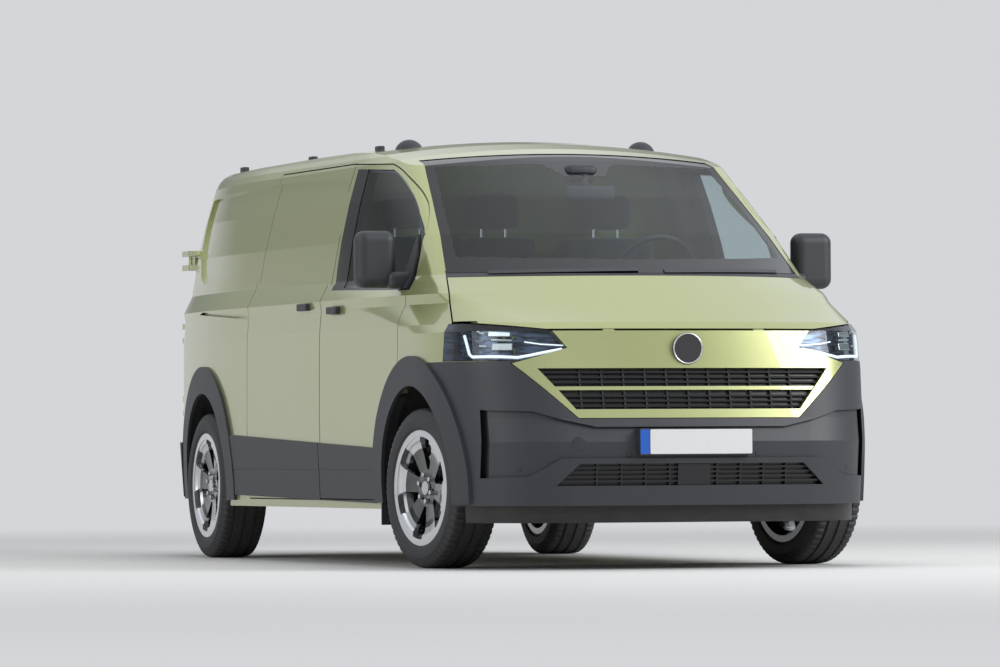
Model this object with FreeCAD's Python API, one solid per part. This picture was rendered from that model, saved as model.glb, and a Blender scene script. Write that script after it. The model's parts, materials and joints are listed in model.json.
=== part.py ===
import FreeCAD, Part
import math
import os
from FreeCAD import Vector

# A long-wheelbase panel van at full size, in millimetres. The origin is at the middle of
# the van's footprint on the ground. The nose faces -Y, the van's left side is +X, up is +Z.

doc = FreeCAD.newDocument("PanelVan")
sheet = doc.addObject("Spreadsheet::Sheet", "Sizes")

# name, value in millimetres or degrees, what it sizes
SIZES = [
    ("length_planes", 5450, "front plane to rear plane, 18 outside either bumper"),
    ("bumper_margin", 18, "plate holder behind the front plane, rear bumper inside the rear"),
    ("body_width", 2000, "over the painted sides"),
    ("roof_top", 1990, "highest point of the roof"),
    ("wheelbase", 3500, "front axle to rear axle"),
    ("front_overhang", 985, "front axle to the front end"),
    ("track", 1736, "wheel centre to wheel centre"),
    ("sill_bottom", 262, "lowest edge of the body side"),
    ("wall", 46, "thickness of sides and doors"),
    ("roof_wall", 34, "thickness of the roof with its bows"),
    ("glass_set_in", 3, "glass behind the outer surface"),
    ("glass_thick", 6, "pane thickness"),
    ("panel_gap", 6, "gap round a moving panel"),
    ("fixed_gap", 3, "gap round a fixed panel"),
    ("arch_opening", 462, "radius of a wheel opening"),
    ("arch_outer", 590, "outer radius of an arch cladding"),
    ("cladding_proud", 16, "cladding outside the painted side"),
    ("door_front", 1205, "front door's leading edge behind the front end"),
    ("pillar_line", 2435, "gap between front and sliding door, from the front end"),
    ("slide_line", 3662, "sliding door's rear gap, from the front end"),
    ("door_bottom", 300, "lower edge of the side doors"),
    ("door_top", 1872, "upper edge of the side doors"),
    ("floor_top", 562, "load floor above the ground"),
    ("floor_thick", 46, "floor with its ribs"),
    ("tyre_radius", 359, "outer radius of a tyre, so the hub height too"),
    ("tyre_width", 235, "tyre section width"),
    ("rim_radius", 258, "radius over the rim flange"),
    ("rim_width", 216, "rim over the flanges"),
    ("rest_steer", 9.45, "how far the front wheels are turned to the left"),
    ("hood_line", 1050, "lower edge of the hood"),
    ("cowl_line", 1303, "rear edge of the hood"),
    ("bumper_top", 916, "upper edge of the front bumper at the lamps"),
    ("bumper_bottom", 281, "lower edge of the front bumper"),
    ("rear_door_half", 792, "centre line to a rear door's outer edge"),
    ("rear_door_bottom", 585, "lower edge of the rear doors"),
    ("rear_door_top", 1868, "upper edge of the rear doors"),
]
for number, (alias, value, note) in enumerate(SIZES, start=1):
    sheet.set(f"A{number}", alias)
    sheet.set(f"B{number}", str(value))
    sheet.set(f"C{number}", note)
    sheet.setAlias(f"B{number}", alias)
doc.recompute()


def size(alias):
    return float(sheet.get(alias))


FRONT = -size("length_planes") / 2
REAR = size("length_planes") / 2
FRONT_AXLE = FRONT + size("front_overhang")
REAR_AXLE = FRONT_AXLE + size("wheelbase")
HALF = size("body_width") / 2
WHEEL_X = size("track") / 2
HUB = size("tyre_radius")
WALL = size("wall")
GAP = size("panel_gap")
SEAM = size("fixed_gap")
SEATED = 0.3
UP = Vector(0, 0, 1)
ACROSS = Vector(1, 0, 0)
BACK = Vector(0, 1, 0)
FAR = 4000

# Plan sections of the body, from the sill up. Each is a closed line of tangent arcs.
# height, nose behind the front end, nose radius, front corner radius, side inside the
# half width, start of the front curve behind the front end and its radius, start of the
# rear curve ahead of the rear end and its radius, rear corner radius, tail ahead of the
# rear end, tail radius
SECTIONS = [
    (200, 60, 4500, 430, 20, 885, 1650, 1465, 8000, 370, 90, 6000),
    (560, 35, 4500, 430, 2, 885, 1650, 1465, 8000, 370, 40, 6000),
    (664, 78, 4500, 430, 0, 885, 1650, 1465, 8000, 370, 33, 6000),
    (882, 125, 4000, 430, 1, 885, 1650, 1465, 8000, 370, 27, 6000),
    (1048, 148, 3000, 430, 3, 985, 2200, 1465, 8000, 370, 25, 6000),
    (1085, 190, 2600, 400, 4, 1185, 3200, 1465, 8000, 370, 25, 6000),
    (1180, 355, 1500, 240, 13, 1885, 8000, 1465, 8000, 370, 25, 6000),
    (1225, 433, 1350, 192, 5, 2074, 9800, 1465, 8000, 361, 27, 6000),
    (1255, 485, 1250, 160, 20, 2200, 11000, 1465, 8000, 355, 28, 6000),
    (1313, 585, 1090, 110, 50, 2385, 14000, 1465, 8000, 340, 30, 6000),
    (1500, 925, 1227, 100, 85, 2385, 9500, 1465, 8000, 300, 40, 6000),
    (1680, 1275, 1466, 100, 130, 2385, 6000, 1465, 8000, 280, 55, 6000),
    (1857, 1650, 2790, 110, 184, 2385, 3500, 1465, 8000, 260, 77, 6000),
    (1890, 1725, 4000, 110, 202, 2385, 3500, 1465, 8000, 250, 90, 6000),
    (1915, 1775, 4500, 110, 225, 2385, 3500, 1465, 8000, 240, 105, 6000),
    (1935, 1815, 5000, 110, 255, 2385, 3500, 1465, 8000, 230, 120, 6000),
    (1950, 1850, 5000, 110, 295, 2385, 3500, 1465, 8000, 220, 140, 6000),
    (2060, 2090, 5000, 110, 560, 2385, 3500, 1465, 8000, 200, 280, 6000),
]
# Roof crown along the centre line: distance behind the front end, drop from the roof top.
CROWN = [(-115, 560), (1745, 97), (1885, 66), (2085, 34), (2285, 15), (2685, 2),
         (3285, 0), (4185, 4), (4985, 14), (5585, 26)]
CROWN_RADIUS = 5200


def meet(first, first_r, second, second_r, toward):
    """Centre of a corner: where two circles cross, the crossing nearer to a point."""
    span = second - first
    gap = span.Length
    along = (first_r ** 2 - second_r ** 2 + gap ** 2) / (2 * gap)
    off = math.sqrt(first_r ** 2 - along ** 2)
    unit = span / gap
    side = Vector(-unit.y, unit.x, 0)
    found = [first + unit * along + side * off, first + unit * along - side * off]
    return min(found, key=lambda p: (p - toward).Length)


def arc(centre, radius, start, end):
    middle = (start + end) / 2 - centre
    middle.normalize()
    return Part.Arc(start, centre + middle * radius, end).toShape()


def plan_wire(row, inset, lift=0.0):
    (height, nose, nose_r, front_r, side_in, start_f, curve_f, start_r, curve_r,
     rear_r, tail, tail_r) = row
    side = HALF - side_in
    nose_c = Vector(0, FRONT + nose + nose_r, 0)
    tail_c = Vector(0, REAR - tail - tail_r, 0)
    front_c = Vector(side - curve_f, FRONT + start_f, 0)
    rear_c = Vector(side - curve_r, REAR - start_r, 0)
    corner_f = meet(nose_c, nose_r - front_r, front_c, curve_f - front_r,
                    Vector(side, FRONT, 0))
    corner_r = meet(tail_c, tail_r - rear_r, rear_c, curve_r - rear_r,
                    Vector(side, REAR, 0))

    def touch(centre, corner, radius):
        way = corner - centre
        way.normalize()
        return centre + way * (radius - inset)

    points = [touch(nose_c, corner_f, nose_r), touch(front_c, corner_f, curve_f),
              Vector(side - inset, FRONT + start_f, 0),
              Vector(side - inset, REAR - start_r, 0),
              touch(rear_c, corner_r, curve_r), touch(tail_c, corner_r, tail_r)]
    centres = [(corner_f, front_r), (front_c, curve_f), None, (rear_c, curve_r),
               (corner_r, rear_r)]

    def half(sign):
        def flip(p):
            return Vector(p.x * sign, p.y, height + lift)
        edges = []
        for number, circle in enumerate(centres):
            start, end = flip(points[number]), flip(points[number + 1])
            if circle is None:
                edges.append(Part.LineSegment(start, end).toShape())
            else:
                edges.append(arc(flip(circle[0]), circle[1] - inset, start, end))
        return edges

    def level(p, sign):
        return Vector(p.x * sign, p.y, height + lift)

    def cap(centre, radius, end, sign):
        tip = Vector(0, centre.y + sign * (radius - inset), height + lift)
        return Part.Arc(level(end, -1), tip, level(end, 1)).toShape()

    nose_arc = cap(nose_c, nose_r, points[0], -1)
    tail_arc = cap(tail_c, tail_r, points[5], 1)
    return Part.Wire(Part.__sortEdges__([nose_arc] + half(1) + [tail_arc] + half(-1)))


def between(low, high):
    """The section rows from one height to another, cut level at both."""
    def mix(height):
        for below, above in zip(SECTIONS, SECTIONS[1:]):
            if below[0] <= height <= above[0]:
                share = (height - below[0]) / (above[0] - below[0])
                return tuple(a + (b - a) * share for a, b in zip(below, above))
    inner = [row for row in SECTIONS if low < row[0] < high]
    return [mix(low)] + inner + [mix(high)]


def crown(drop):
    """Everything under the roof, with its top let down by a drop."""
    wires = []
    reach = 1300
    fall = CROWN_RADIUS - math.sqrt(CROWN_RADIUS ** 2 - reach ** 2)
    for back, low in CROWN:
        y = FRONT + back
        top = size("roof_top") - low - drop
        left = Vector(-reach, y, top - fall)
        right = Vector(reach, y, top - fall)
        bow = Part.Arc(left, Vector(0, y, top), right).toShape()
        foot = Part.makePolygon([right, Vector(reach, y, 0), Vector(-reach, y, 0), left])
        wires.append(Part.Wire([bow] + foot.Edges))
    return Part.makeLoft(wires, True, True)


def form(inset, drop, low, high=2060):
    """The body's outer form, moved in by an inset and its roof down by a drop."""
    wires = [plan_wire(row, inset) for row in between(low, high)]
    solid = Part.makeLoft(wires, True, True)
    return solid.common(crown(drop)) if high > 1850 else solid


def block(x, y, z):
    """A box from three pairs of limits."""
    return Part.makeBox(x[1] - x[0], y[1] - y[0], z[1] - z[0], Vector(x[0], y[0], z[0]))


def soft_block(x, y, z, radius):
    """A box with all its edges rounded."""
    plain = block(x, y, z)
    return plain.makeFillet(radius, plain.Edges)


def outline(points, plane, low, high):
    """A prism from an outline of lines and arcs. A point that is given as a pair in a
    pair is the middle of an arc. Plane names the two axes of the outline."""
    place = {"yz": lambda a, b: Vector(low, a, b), "xz": lambda a, b: Vector(a, low, b),
             "xy": lambda a, b: Vector(a, b, low)}[plane]
    way = {"yz": ACROSS, "xz": BACK, "xy": UP}[plane] * (high - low)
    edges = []
    ring = points + [points[0]]
    last, bend = None, None
    for point in ring:
        if isinstance(point[0], tuple):
            bend = place(*point[0])
            continue
        spot = place(*point)
        if last is not None and bend is not None:
            edges.append(Part.Arc(last, bend, spot).toShape())
        elif last is not None:
            edges.append(Part.LineSegment(last, spot).toShape())
        last, bend = spot, None
    face = Part.Face(Part.Wire(edges))
    return face, way


def prism(points, plane, low, high, grow=0.0):
    face, way = outline(points, plane, low, high)
    if grow:
        face = Part.Face(face.makeOffset2D(grow, 2, False, False, False).OuterWire)
    return face.extrude(way)


def mirrored(shape):
    return shape.mirror(Vector(0, 0, 0), ACROSS)


def rod(start, end, radius):
    way = end - start
    return Part.makeCylinder(radius, way.Length, start, way)


def add(name, shape, solids=None):
    """A finished sub-part in the document, named for its file."""
    piece = doc.addObject("Part::Feature", name)
    piece.Label = name
    piece.Shape = shape
    return piece


PIECES = []


def keep(name, shape):
    found = [s for s in shape.Solids if s.Volume > 500]
    body = found[0] if len(found) == 1 else Part.Compound(found)
    PIECES.append(add(name, body))
    return body


# Outlines

def from_axle(y, z):
    return (FRONT_AXLE + y, z)


DOOR_Y = FRONT + size("door_front")
PILLAR_Y = FRONT + size("pillar_line")
SLIDE_Y = FRONT + size("slide_line")
front_door_edge = [
    (DOOR_Y, size("door_bottom")), (DOOR_Y, 1215), from_axle(262, 1420),
    from_axle(292, 1512), (from_axle(560, 1712), 0), from_axle(940, 1852),
    (PILLAR_Y, size("door_top")), (PILLAR_Y, size("door_bottom"))]
window_edge = [
    from_axle(318, 1268), from_axle(330, 1500), (from_axle(560, 1668), 0),
    from_axle(900, 1806), from_axle(1215, 1822), from_axle(1150, 1296)]
slide_edge = [
    (PILLAR_Y, size("door_bottom")), (PILLAR_Y, size("door_top")),
    (SLIDE_Y, size("door_top")), (SLIDE_Y, size("door_bottom"))]
screen_edge = [
    (-836, 1322), (-700, 1862), ((0, 1896), 0), (700, 1862), (836, 1322), ((0, 1309), 0)]
panel_edge = [
    (-513, 664), (-775, 905), (-731, 918), (-540, 972), (-600, size("hood_line") - SEAM),
    (600, size("hood_line") - SEAM), (540, 972), (731, 918), (775, 905), (513, 664)]
grille_edge = [(-522, 702), (-676, 882), (676, 882), (522, 702)]
lower_grille_edge = [(-622, 368), (-520, 464), (520, 464), (622, 368)]
lamp_edge = [(600, size("hood_line") - SEAM), (540, 972), (731, 918), (1100, 922),
             (1100, 1082), (915, 1082)]


def arch(axle_y, radius, inner=560, outer=1100):
    return Part.makeCylinder(radius, outer - inner, Vector(inner, axle_y, HUB), ACROSS)


outer_form = form(0, 0, size("sill_bottom"))
inner_form = form(WALL, size("roof_wall"), size("sill_bottom"))
glass_front = form(size("glass_set_in"), size("glass_set_in"), 1200)
glass_back = form(size("glass_set_in") + size("glass_thick"),
                  size("glass_set_in") + size("glass_thick"), 1200)
shell = outer_form.cut(inner_form)

right_arches = [mirrored(arch(y, size("arch_opening"))) for y in (FRONT_AXLE, REAR_AXLE)]
left_arches = [arch(y, size("arch_opening")) for y in (FRONT_AXLE, REAR_AXLE)]
shell = shell.cut(right_arches + left_arches)

# Recessed upper sides, behind the front doors
RECESS = 15
recess_edge = [
    from_axle(1330, 1300), from_axle(1470, 1800), (from_axle(2750, 1822), 0),
    from_axle(4110, 1800), (from_axle(4090, 1600), 0), from_axle(3960, 1440),
    (from_axle(3860, 1385), 0), from_axle(3700, 1372), (from_axle(2600, 1345), 0)]
recess_zone = outer_form.cut(form(RECESS, 0, 1280, 1850))
recess_tool = recess_zone.common(prism(recess_edge, "yz", 600, 1100))
shell = shell.cut([recess_tool, mirrored(recess_tool)])
rail_slot = [from_axle(2664, 1166), from_axle(2664, 1188), from_axle(3560, 1221),
             from_axle(3640, 1210)]
slot_tool = outer_form.cut(form(20, 0, 1150, 1240)).common(
    mirrored(prism(rail_slot, "yz", 900, 1100)))
shell = shell.cut(slot_tool)

# Parts of the doors and sides

arch_ring = arch(FRONT_AXLE, size("arch_outer"))
rear_ring = arch(REAR_AXLE, size("arch_outer"))
door_tool = prism(front_door_edge, "yz", 500, 1100, -GAP)
door_hole = prism(front_door_edge, "yz", 500, 1100).cut(arch_ring)
window_tool = prism(window_edge, "yz", 500, 1100)
window_seat = prism(window_edge, "yz", 500, 1100, 14)
pane_zone = glass_front.cut(glass_back)
glass_pocket = outer_form.cut(glass_back)
trim_zone = form(-size("cladding_proud"), 0, size("sill_bottom"), 1000).cut(outer_form)
sill_zone = form(-12, 0, size("sill_bottom"), 700).cut(outer_form)
seal_zone = form(WALL + 8, size("roof_wall"), size("sill_bottom"))

door = shell.common(door_tool).cut(arch(FRONT_AXLE, size("arch_outer") + GAP))
door = door.cut(window_tool).cut(glass_pocket.common(window_seat))
door_pane = pane_zone.common(window_seat)
sill_edge = [from_axle(480, 286), from_axle(480, 536), from_axle(2960, 608),
             from_axle(2960, 316)]
undercut = [(HALF + 20, 452), (HALF + 2, 440), (HALF + 4, 398), (HALF + 20, 366)]
sill_trim = sill_zone.common(prism(sill_edge, "yz", 800, 1100))
sill_trim = sill_trim.cut(prism(undercut, "xz", DOOR_Y, REAR_AXLE))
door_span = block((0, FAR), (-FAR, PILLAR_Y - GAP), (size("door_bottom") + GAP, FAR))
door_trim = sill_trim.common(door_span).cut(arch(FRONT_AXLE, size("arch_outer") + GAP))


def grip(y, z):
    """Door handle: a bar 150 long that stands 20 off the door on two feet."""
    bar = block((960, 1014), (y - 76, y + 76), (z - 17, z + 17))
    bar = bar.makeFillet(7, [e for e in bar.Edges if e.BoundBox.XMax > 1013])
    return bar.cut(outer_form)


def mirror_set():
    """Door mirror: a sail plate over the door's corner, an arm and the head."""
    y = FRONT_AXLE
    head = soft_block((962, 1148), (y + 326, y + 440), (1262, 1520), 46)
    arm = soft_block((890, 1010), (y + 296, y + 376), (1258, 1334), 26)
    sail = [(y + 266, 1258), (y + 276, 1400), (y + 334, 1505), (y + 376, 1258)]
    over_pane = size("glass_set_in") - SEATED
    plate = form(-10, 0, 1255, 1520).cut(form(over_pane, 0, 1250, 1525))
    plate = plate.common(prism(sail, "yz", 700, 1100))
    return head.fuse([arm, plate]).cut(form(over_pane, 0, 1240, 1540)).fuse(plate).cut(door)


door_mirror = mirror_set()
front_grip = grip(FRONT_AXLE + 1217, 1179)
door_fitting = Part.Compound(door_mirror.Solids + front_grip.Solids + door_trim.Solids)
for side, turn in (("left", lambda shape: shape), ("right", mirrored)):
    keep(f"front_door_{side}", turn(door))
    keep(f"front_glass_{side}", turn(door_pane))
    keep(f"front_door_trim_{side}", turn(door_fitting))

# Sliding door on the right side, shut.
slide_tool = mirrored(prism(slide_edge, "yz", 500, 1100, -SEAM))
slide_hole = mirrored(prism(slide_edge, "yz", 500, 1100, SEAM))
slide = shell.common(slide_tool).cut(mirrored(arch(REAR_AXLE, size("arch_outer") + SEAM)))
keep("sliding_door", slide)

# Rear doors, one each side of the centre line.
door_half = size("rear_door_half")
rear_edge = [
    (-door_half, size("rear_door_bottom")), (-door_half, 1300),
    (60 - door_half, size("rear_door_top")), (door_half - 60, size("rear_door_top")),
    (door_half, 1300), (door_half, size("rear_door_bottom"))]
tail_start = REAR - 700
rear_hole = prism(rear_edge, "xz", tail_start, REAR + 100)
rear_tool = prism(rear_edge, "xz", tail_start, REAR + 100, -GAP)
rear_pair = shell.common(rear_tool)
HINGE_X = door_half + 14
HINGE_Y = REAR - 85
HINGE_HEIGHTS = (760, 1130, 1500)
HINGE_PIN = 5


ARM_CLEAR = 11


def hinge_leafs(swing):
    """Outside hinges of a rear door: knuckles on a pin, a leaf to the door or body."""
    found = []
    clear_of_body = form(-ARM_CLEAR, 0, 680, 1600)
    for z in HINGE_HEIGHTS:
        if swing:
            low, high = z - 20, z + 20
            barrel = Part.makeCylinder(11, high - low, Vector(HINGE_X, HINGE_Y, low))
            arm = block((HINGE_X - 70, HINGE_X), (HINGE_Y - 80, HINGE_Y + 8), (low, high))
            foot = block((HINGE_X - 70, HINGE_X - 26), (HINGE_Y - 80, HINGE_Y + 8), (low, high))
            barrel = barrel.fuse([arm.cut(clear_of_body), foot.cut(outer_form)])
            bore = Part.makeCylinder(HINGE_PIN + 0.05, 60, Vector(HINGE_X, HINGE_Y, z - 30))
            found.append(barrel.cut(bore))
        else:
            pin = Part.makeCylinder(HINGE_PIN, 100, Vector(HINGE_X, HINGE_Y, z - 50))
            ends = []
            for low in (z - 50, z + 21):
                ends.append(Part.makeCylinder(11, 29, Vector(HINGE_X, HINGE_Y, low)))
                ends.append(block((HINGE_X - 4, HINGE_X + 46), (HINGE_Y - 125, HINGE_Y),
                                  (low, low + 29)).cut(outer_form))
            found.append(pin.fuse(ends))
    return found


swing_leafs = hinge_leafs(True)
for side, turn in (("left", lambda shape: shape), ("right", mirrored)):
    leaf = rear_pair.common(block((GAP / 2, FAR), (tail_start, FAR), (0, FAR)))
    keep(f"rear_door_{side}", turn(leaf.fuse(swing_leafs)))

# Windscreen in its seat.
screen_front = FRONT + 300
screen_back = FRONT_AXLE + 900
screen_pane = pane_zone.common(prism(screen_edge, "xz", screen_front, screen_back, -2))
screen_seat = prism(screen_edge, "xz", screen_front, screen_back)
screen_hole = prism(screen_edge, "xz", screen_front, screen_back, -24)
keep("windscreen", screen_pane)
blade_zone = form(-9, 0, 1300, 1500).cut(form(2.7, 0, 1295, 1505))
blades = []
for x, z, end_x, end_z in ((-690, 1314, -60, 1322), (60, 1314, 690, 1322)):
    blade = [(x, z), (x, z + 14), (end_x, end_z + 14), (end_x, end_z)]
    blades += blade_zone.common(prism(blade, "xz", screen_front, FRONT_AXLE + 200)).Solids

# Hood, front wings, front panel and lamps.
lamp_back = FRONT_AXLE - 372
hood_plan = [(-961, FRONT - 50), (-941, FRONT_AXLE - 406), (-902, FRONT_AXLE - 243),
             (-836, FRONT_AXLE + 14), (836, FRONT_AXLE + 14), (902, FRONT_AXLE - 243),
             (941, FRONT_AXLE - 406), (961, FRONT - 50)]
COWL_TOP = 1330


def behind_cowl_line(clear):
    """Everything inside the body's outline at the cowl line, grown by a clearance."""
    row = between(size("cowl_line"), size("cowl_line"))[0]
    return Part.Face(plan_wire(row, -clear)).extrude(UP * 400).translated(
        Vector(0, 0, size("hood_line") - size("cowl_line") - 10))


hood_hole = prism(hood_plan, "xy", size("hood_line"), COWL_TOP)
hood_tool = prism(hood_plan, "xy", size("hood_line") + GAP, COWL_TOP, -GAP)
hood = shell.common(hood_tool.cut(behind_cowl_line(GAP)))
lamp_clear = prism(lamp_edge, "xz", FRONT - 50, lamp_back + GAP, GAP)
swing_room = prism([(FRONT - 50, size("hood_line")), (lamp_back + 26, size("hood_line")),
                    (lamp_back + GAP, 1094), (FRONT - 50, 1094)], "yz", 870, 1100)
hood = hood.cut([lamp_clear, mirrored(lamp_clear), swing_room, mirrored(swing_room)])
keep("hood", hood)

wing = shell.common(block((400, FAR), (-FAR, DOOR_Y), (size("bumper_top"), FAR)))
wing = wing.cut(block((-FAR, FAR), (-FAR, FAR), (size("cowl_line"), FAR)))
wing = wing.cut(hood_hole)
wing = wing.cut(prism(lamp_edge, "xz", FRONT - 50, lamp_back + SEAM, SEAM))
wing = wing.cut(prism(panel_edge, "xz", FRONT - 50, FRONT_AXLE, SEAM))
panel = shell.common(prism(panel_edge, "xz", FRONT - 50, FRONT_AXLE - 200))
grille_tool = prism(grille_edge, "xz", FRONT - 50, FRONT_AXLE - 200)
panel = panel.cut(grille_tool)
grille_bars = form(10, 0, 690, 895).cut(form(WALL - 4, 0, 685, 900)).common(grille_tool)
paint_bar = grille_bars.common(block((-FAR, FAR), (-FAR, 0), (786, 802)))
stops = [block((x - 25, x + 25), (FRONT + 160, FRONT + 185),
               (size("hood_line") - SEAM - 1, size("hood_line") + GAP - 0.3))
         for x in (-350, 350)]
stops = [stop.common(form(4, 0, 1030, 1070)) for stop in stops]
wings = [s for s in wing.Solids if s.Volume > 500]
panel = panel.fuse([paint_bar] + stops)
keep("front_panels", Part.Compound(wings + [mirrored(w) for w in wings] + panel.Solids))
lamp = shell.common(prism(lamp_edge, "xz", FRONT - 50, lamp_back))
keep("headlamps", Part.Compound(lamp.Solids + mirrored(lamp).Solids))

# Front bumper with its lower opening
bumper = shell.common(block((-FAR, FAR), (-FAR, FRONT_AXLE),
                            (size("bumper_bottom"), size("bumper_top"))))
bumper = bumper.cut(prism(panel_edge, "xz", FRONT - 50, FRONT_AXLE - 200, SEAM))
lower_tool = prism(lower_grille_edge, "xz", FRONT - 50, FRONT_AXLE - 300)
bumper = bumper.cut(lower_tool)
BAND_DEPTH, SLOT_DEPTH = 14, 36
slot_edge = [(864, 404), (866, 699), (894, 703), (894, 402)]
band_low = [(-864, 404), (-730, 410), (-600, 488), (600, 488), (730, 410), (864, 404)]
band_top = [(866, 699), (709, 694), (583, 656), (439, 625)]
band_edge = band_low + band_top + [(-x, z) for x, z in reversed(band_top)]
band_zone = outer_form.cut(form(BAND_DEPTH, 0, 390, 715))
slot_zone = outer_form.cut(form(SLOT_DEPTH, 0, 390, 715))
slot_cut = slot_zone.common(prism(slot_edge, "xz", FRONT - 50, FRONT_AXLE - 480))
bumper = bumper.cut(band_zone.common(prism(band_edge, "xz", FRONT - 50, FRONT_AXLE - 480)))
bumper = bumper.cut([slot_cut, mirrored(slot_cut)])
plate_holder = block((-261, 261), (FRONT + size("bumper_margin"), FRONT + 80), (501, 617))
plate_holder = plate_holder.cut(form(BAND_DEPTH + 4, 0, 480, 640))
keep("front_bumper", bumper.fuse(plate_holder))

# Grille slats, upper and lower
def nose_at(height):
    """Nose line on the centre and the nose radius at one height."""
    row = between(height, height)[0]
    return FRONT + row[1], row[2]


def slat(height, thick, half, near, far):
    """A grille slat that follows the nose: its depth runs from near to far behind it."""
    tip, radius = nose_at(height)

    def behind(depth, x):
        return tip + radius - math.sqrt((radius - depth) ** 2 - x ** 2)
    ends = [(-half, behind(near, half)), ((0, tip + near), 0), (half, behind(near, half)),
            (half, behind(far, half)), ((0, tip + far), 0), (-half, behind(far, half))]
    return prism(ends, "xy", height - thick / 2, height + thick / 2)


def rib(x, low, high, near, far, thick=8):
    """An upright between the slats, leaning with the nose."""
    def at(height, depth):
        tip, radius = nose_at(height)
        return (tip + depth + x * x / (2 * radius), height)
    edge = [at(low, near), at(high, near), at(high, far), at(low, far)]
    return prism(edge, "yz", x - thick / 2, x + thick / 2)


def grille(edge, slat_heights, rib_xs, near, far, thick):
    """Slats and ribs inside a trapezoid opening, on a plate that closes it behind."""
    (low_half, low), (high_half, high) = edge
    lean = (high_half - low_half) / (high - low)
    pieces = []
    for height in slat_heights:
        half = min(low_half + lean * (height + end - low) for end in (-thick / 2, thick / 2))
        pieces.append(slat(height, thick, half, near, far))
    for x in rib_xs:
        pieces.append(rib(x, low + 2, high - 2, near + 4, far + 2))
    return pieces


def plate_behind(tool, depth, low, high):
    sheet_form = form(depth, 0, low, high).cut(form(depth + 6, 0, low - 5, high + 5))
    return sheet_form.common(tool)


upper_parts = grille(((522, 702), (676, 882)), (716, 738, 760, 820, 842, 864),
                     [number * 98 for number in range(-5, 6)], 16, 34, 8)
upper = plate_behind(grille_tool, 35, 690, 895).fuse(upper_parts).cut(paint_bar)
lower_parts = grille(((622, 368), (520, 464)), (388, 408, 428, 448),
                     [number * 110 for number in (-4, -3, -2, -1, 1, 2, 3, 4)], 12, 34, 8)
middle_block = rib(0, 370, 462, 8, 36, 150)
lower = plate_behind(lower_tool, 35, 350, 480).fuse(lower_parts + [middle_block])
keep("grilles", Part.Compound(upper.Solids + lower.Solids))

disc = Part.makeCylinder(70, 60, Vector(0, FRONT + 122, 968), BACK).cut(outer_form)
keep("front_disc", disc)

# A hoop behind the front pieces that carries them
carrier = form(WALL + SEATED, 0, 870, 1045).cut(form(WALL + 22, 0, 865, 1050))
carrier = carrier.common(block((-FAR, FAR), (-FAR, FRONT_AXLE - 180), (0, FAR)))
carrier = carrier.cut(right_arches + left_arches)

# Body shell: what is left of the sides, pillars and rear corners.
body = shell.cut(block((-FAR, FAR), (-FAR, DOOR_Y), (0, size("cowl_line"))))
body = body.cut([door_hole, mirrored(door_hole), slide_hole, rear_hole])
body = body.cut(glass_pocket.common(screen_seat)).cut(screen_hole)
for x in (-770, 770):
    body = body.cut(block((x - 2.5, x + 2.5), (FRONT_AXLE + 1150, FRONT_AXLE + 2830),
                          (1888, FAR)))
roof_zone = block((-690, 690), (FRONT_AXLE + 1000, REAR - 190), (1880, FAR))
roof = body.common(roof_zone)
body = body.cut(roof_zone)
cowl_zone = block((-838, 838), (-FAR, FRONT_AXLE + 60), (size("cowl_line"), COWL_TOP))
cowl_strip = shell.common(hood_hole.common(behind_cowl_line(0)).cut(cowl_zone))
cowl = body.common(cowl_zone).fuse(cowl_strip)
body = body.cut([cowl_zone, cowl_strip])
sill_box = seal_zone.common(block((790, FAR), (DOOR_Y - 60, REAR_AXLE), (0, 516)))
sill_box = sill_box.cut(arch(FRONT_AXLE, 490).fuse(arch(REAR_AXLE, 490)))
flange = form(WALL + SEATED, 0, size("sill_bottom"), 320).common(
    block((790, FAR), (DOOR_Y, REAR_AXLE - 400), (0, 294)))
flange = flange.cut(arch(FRONT_AXLE, 490).fuse(arch(REAR_AXLE, 490)))
pillar_zone = seal_zone.cut(form(WALL + 60, size("roof_wall"), size("sill_bottom")))
pillars = pillar_zone.common(
    block((500, FAR), (PILLAR_Y - 60, PILLAR_Y + 55), (500, FAR)).fuse(
        block((500, FAR), (DOOR_Y - 70, DOOR_Y + 50), (500, 1290))))
latches = [block((880, 990), (y, y + 40), (z, z + 50))
           for y, z in ((PILLAR_Y - 50, 980), (PILLAR_Y - 50, 560), (DOOR_Y + 10, 620),
                        (DOOR_Y + 10, 1000))]
latch_zone = form(WALL + 0.3, 0, 500, 1200).cut(form(WALL + 12, 0, 495, 1205))
pads = [latch_zone.common(pad) for pad in latches]
frame_side = sill_box.fuse([flange, pillars] + pads).cut(arch(FRONT_AXLE, 490))
hinge_fixed = hinge_leafs(False)
keep("inner_frame", Part.Compound([frame_side, mirrored(frame_side)] + carrier.Solids))
body = body.fuse(hinge_fixed + [mirrored(h) for h in hinge_fixed])
lamp_low, lamp_high = 900, 1330
tail_zone = block((door_half + 12, 905), (REAR_AXLE + 500, FAR), (lamp_low, lamp_high))
tail_lamp = shell.common(tail_zone).cut(hinge_fixed)
body = body.cut([tail_zone.cut(hinge_fixed), mirrored(tail_zone.cut(hinge_fixed))])
keep("body_shell", body)
keep("roof", roof)
keep("cowl_and_wipers", Part.Compound(cowl.Solids + blades))
keep("tail_lamps", Part.Compound(tail_lamp.Solids + mirrored(tail_lamp).Solids))

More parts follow.
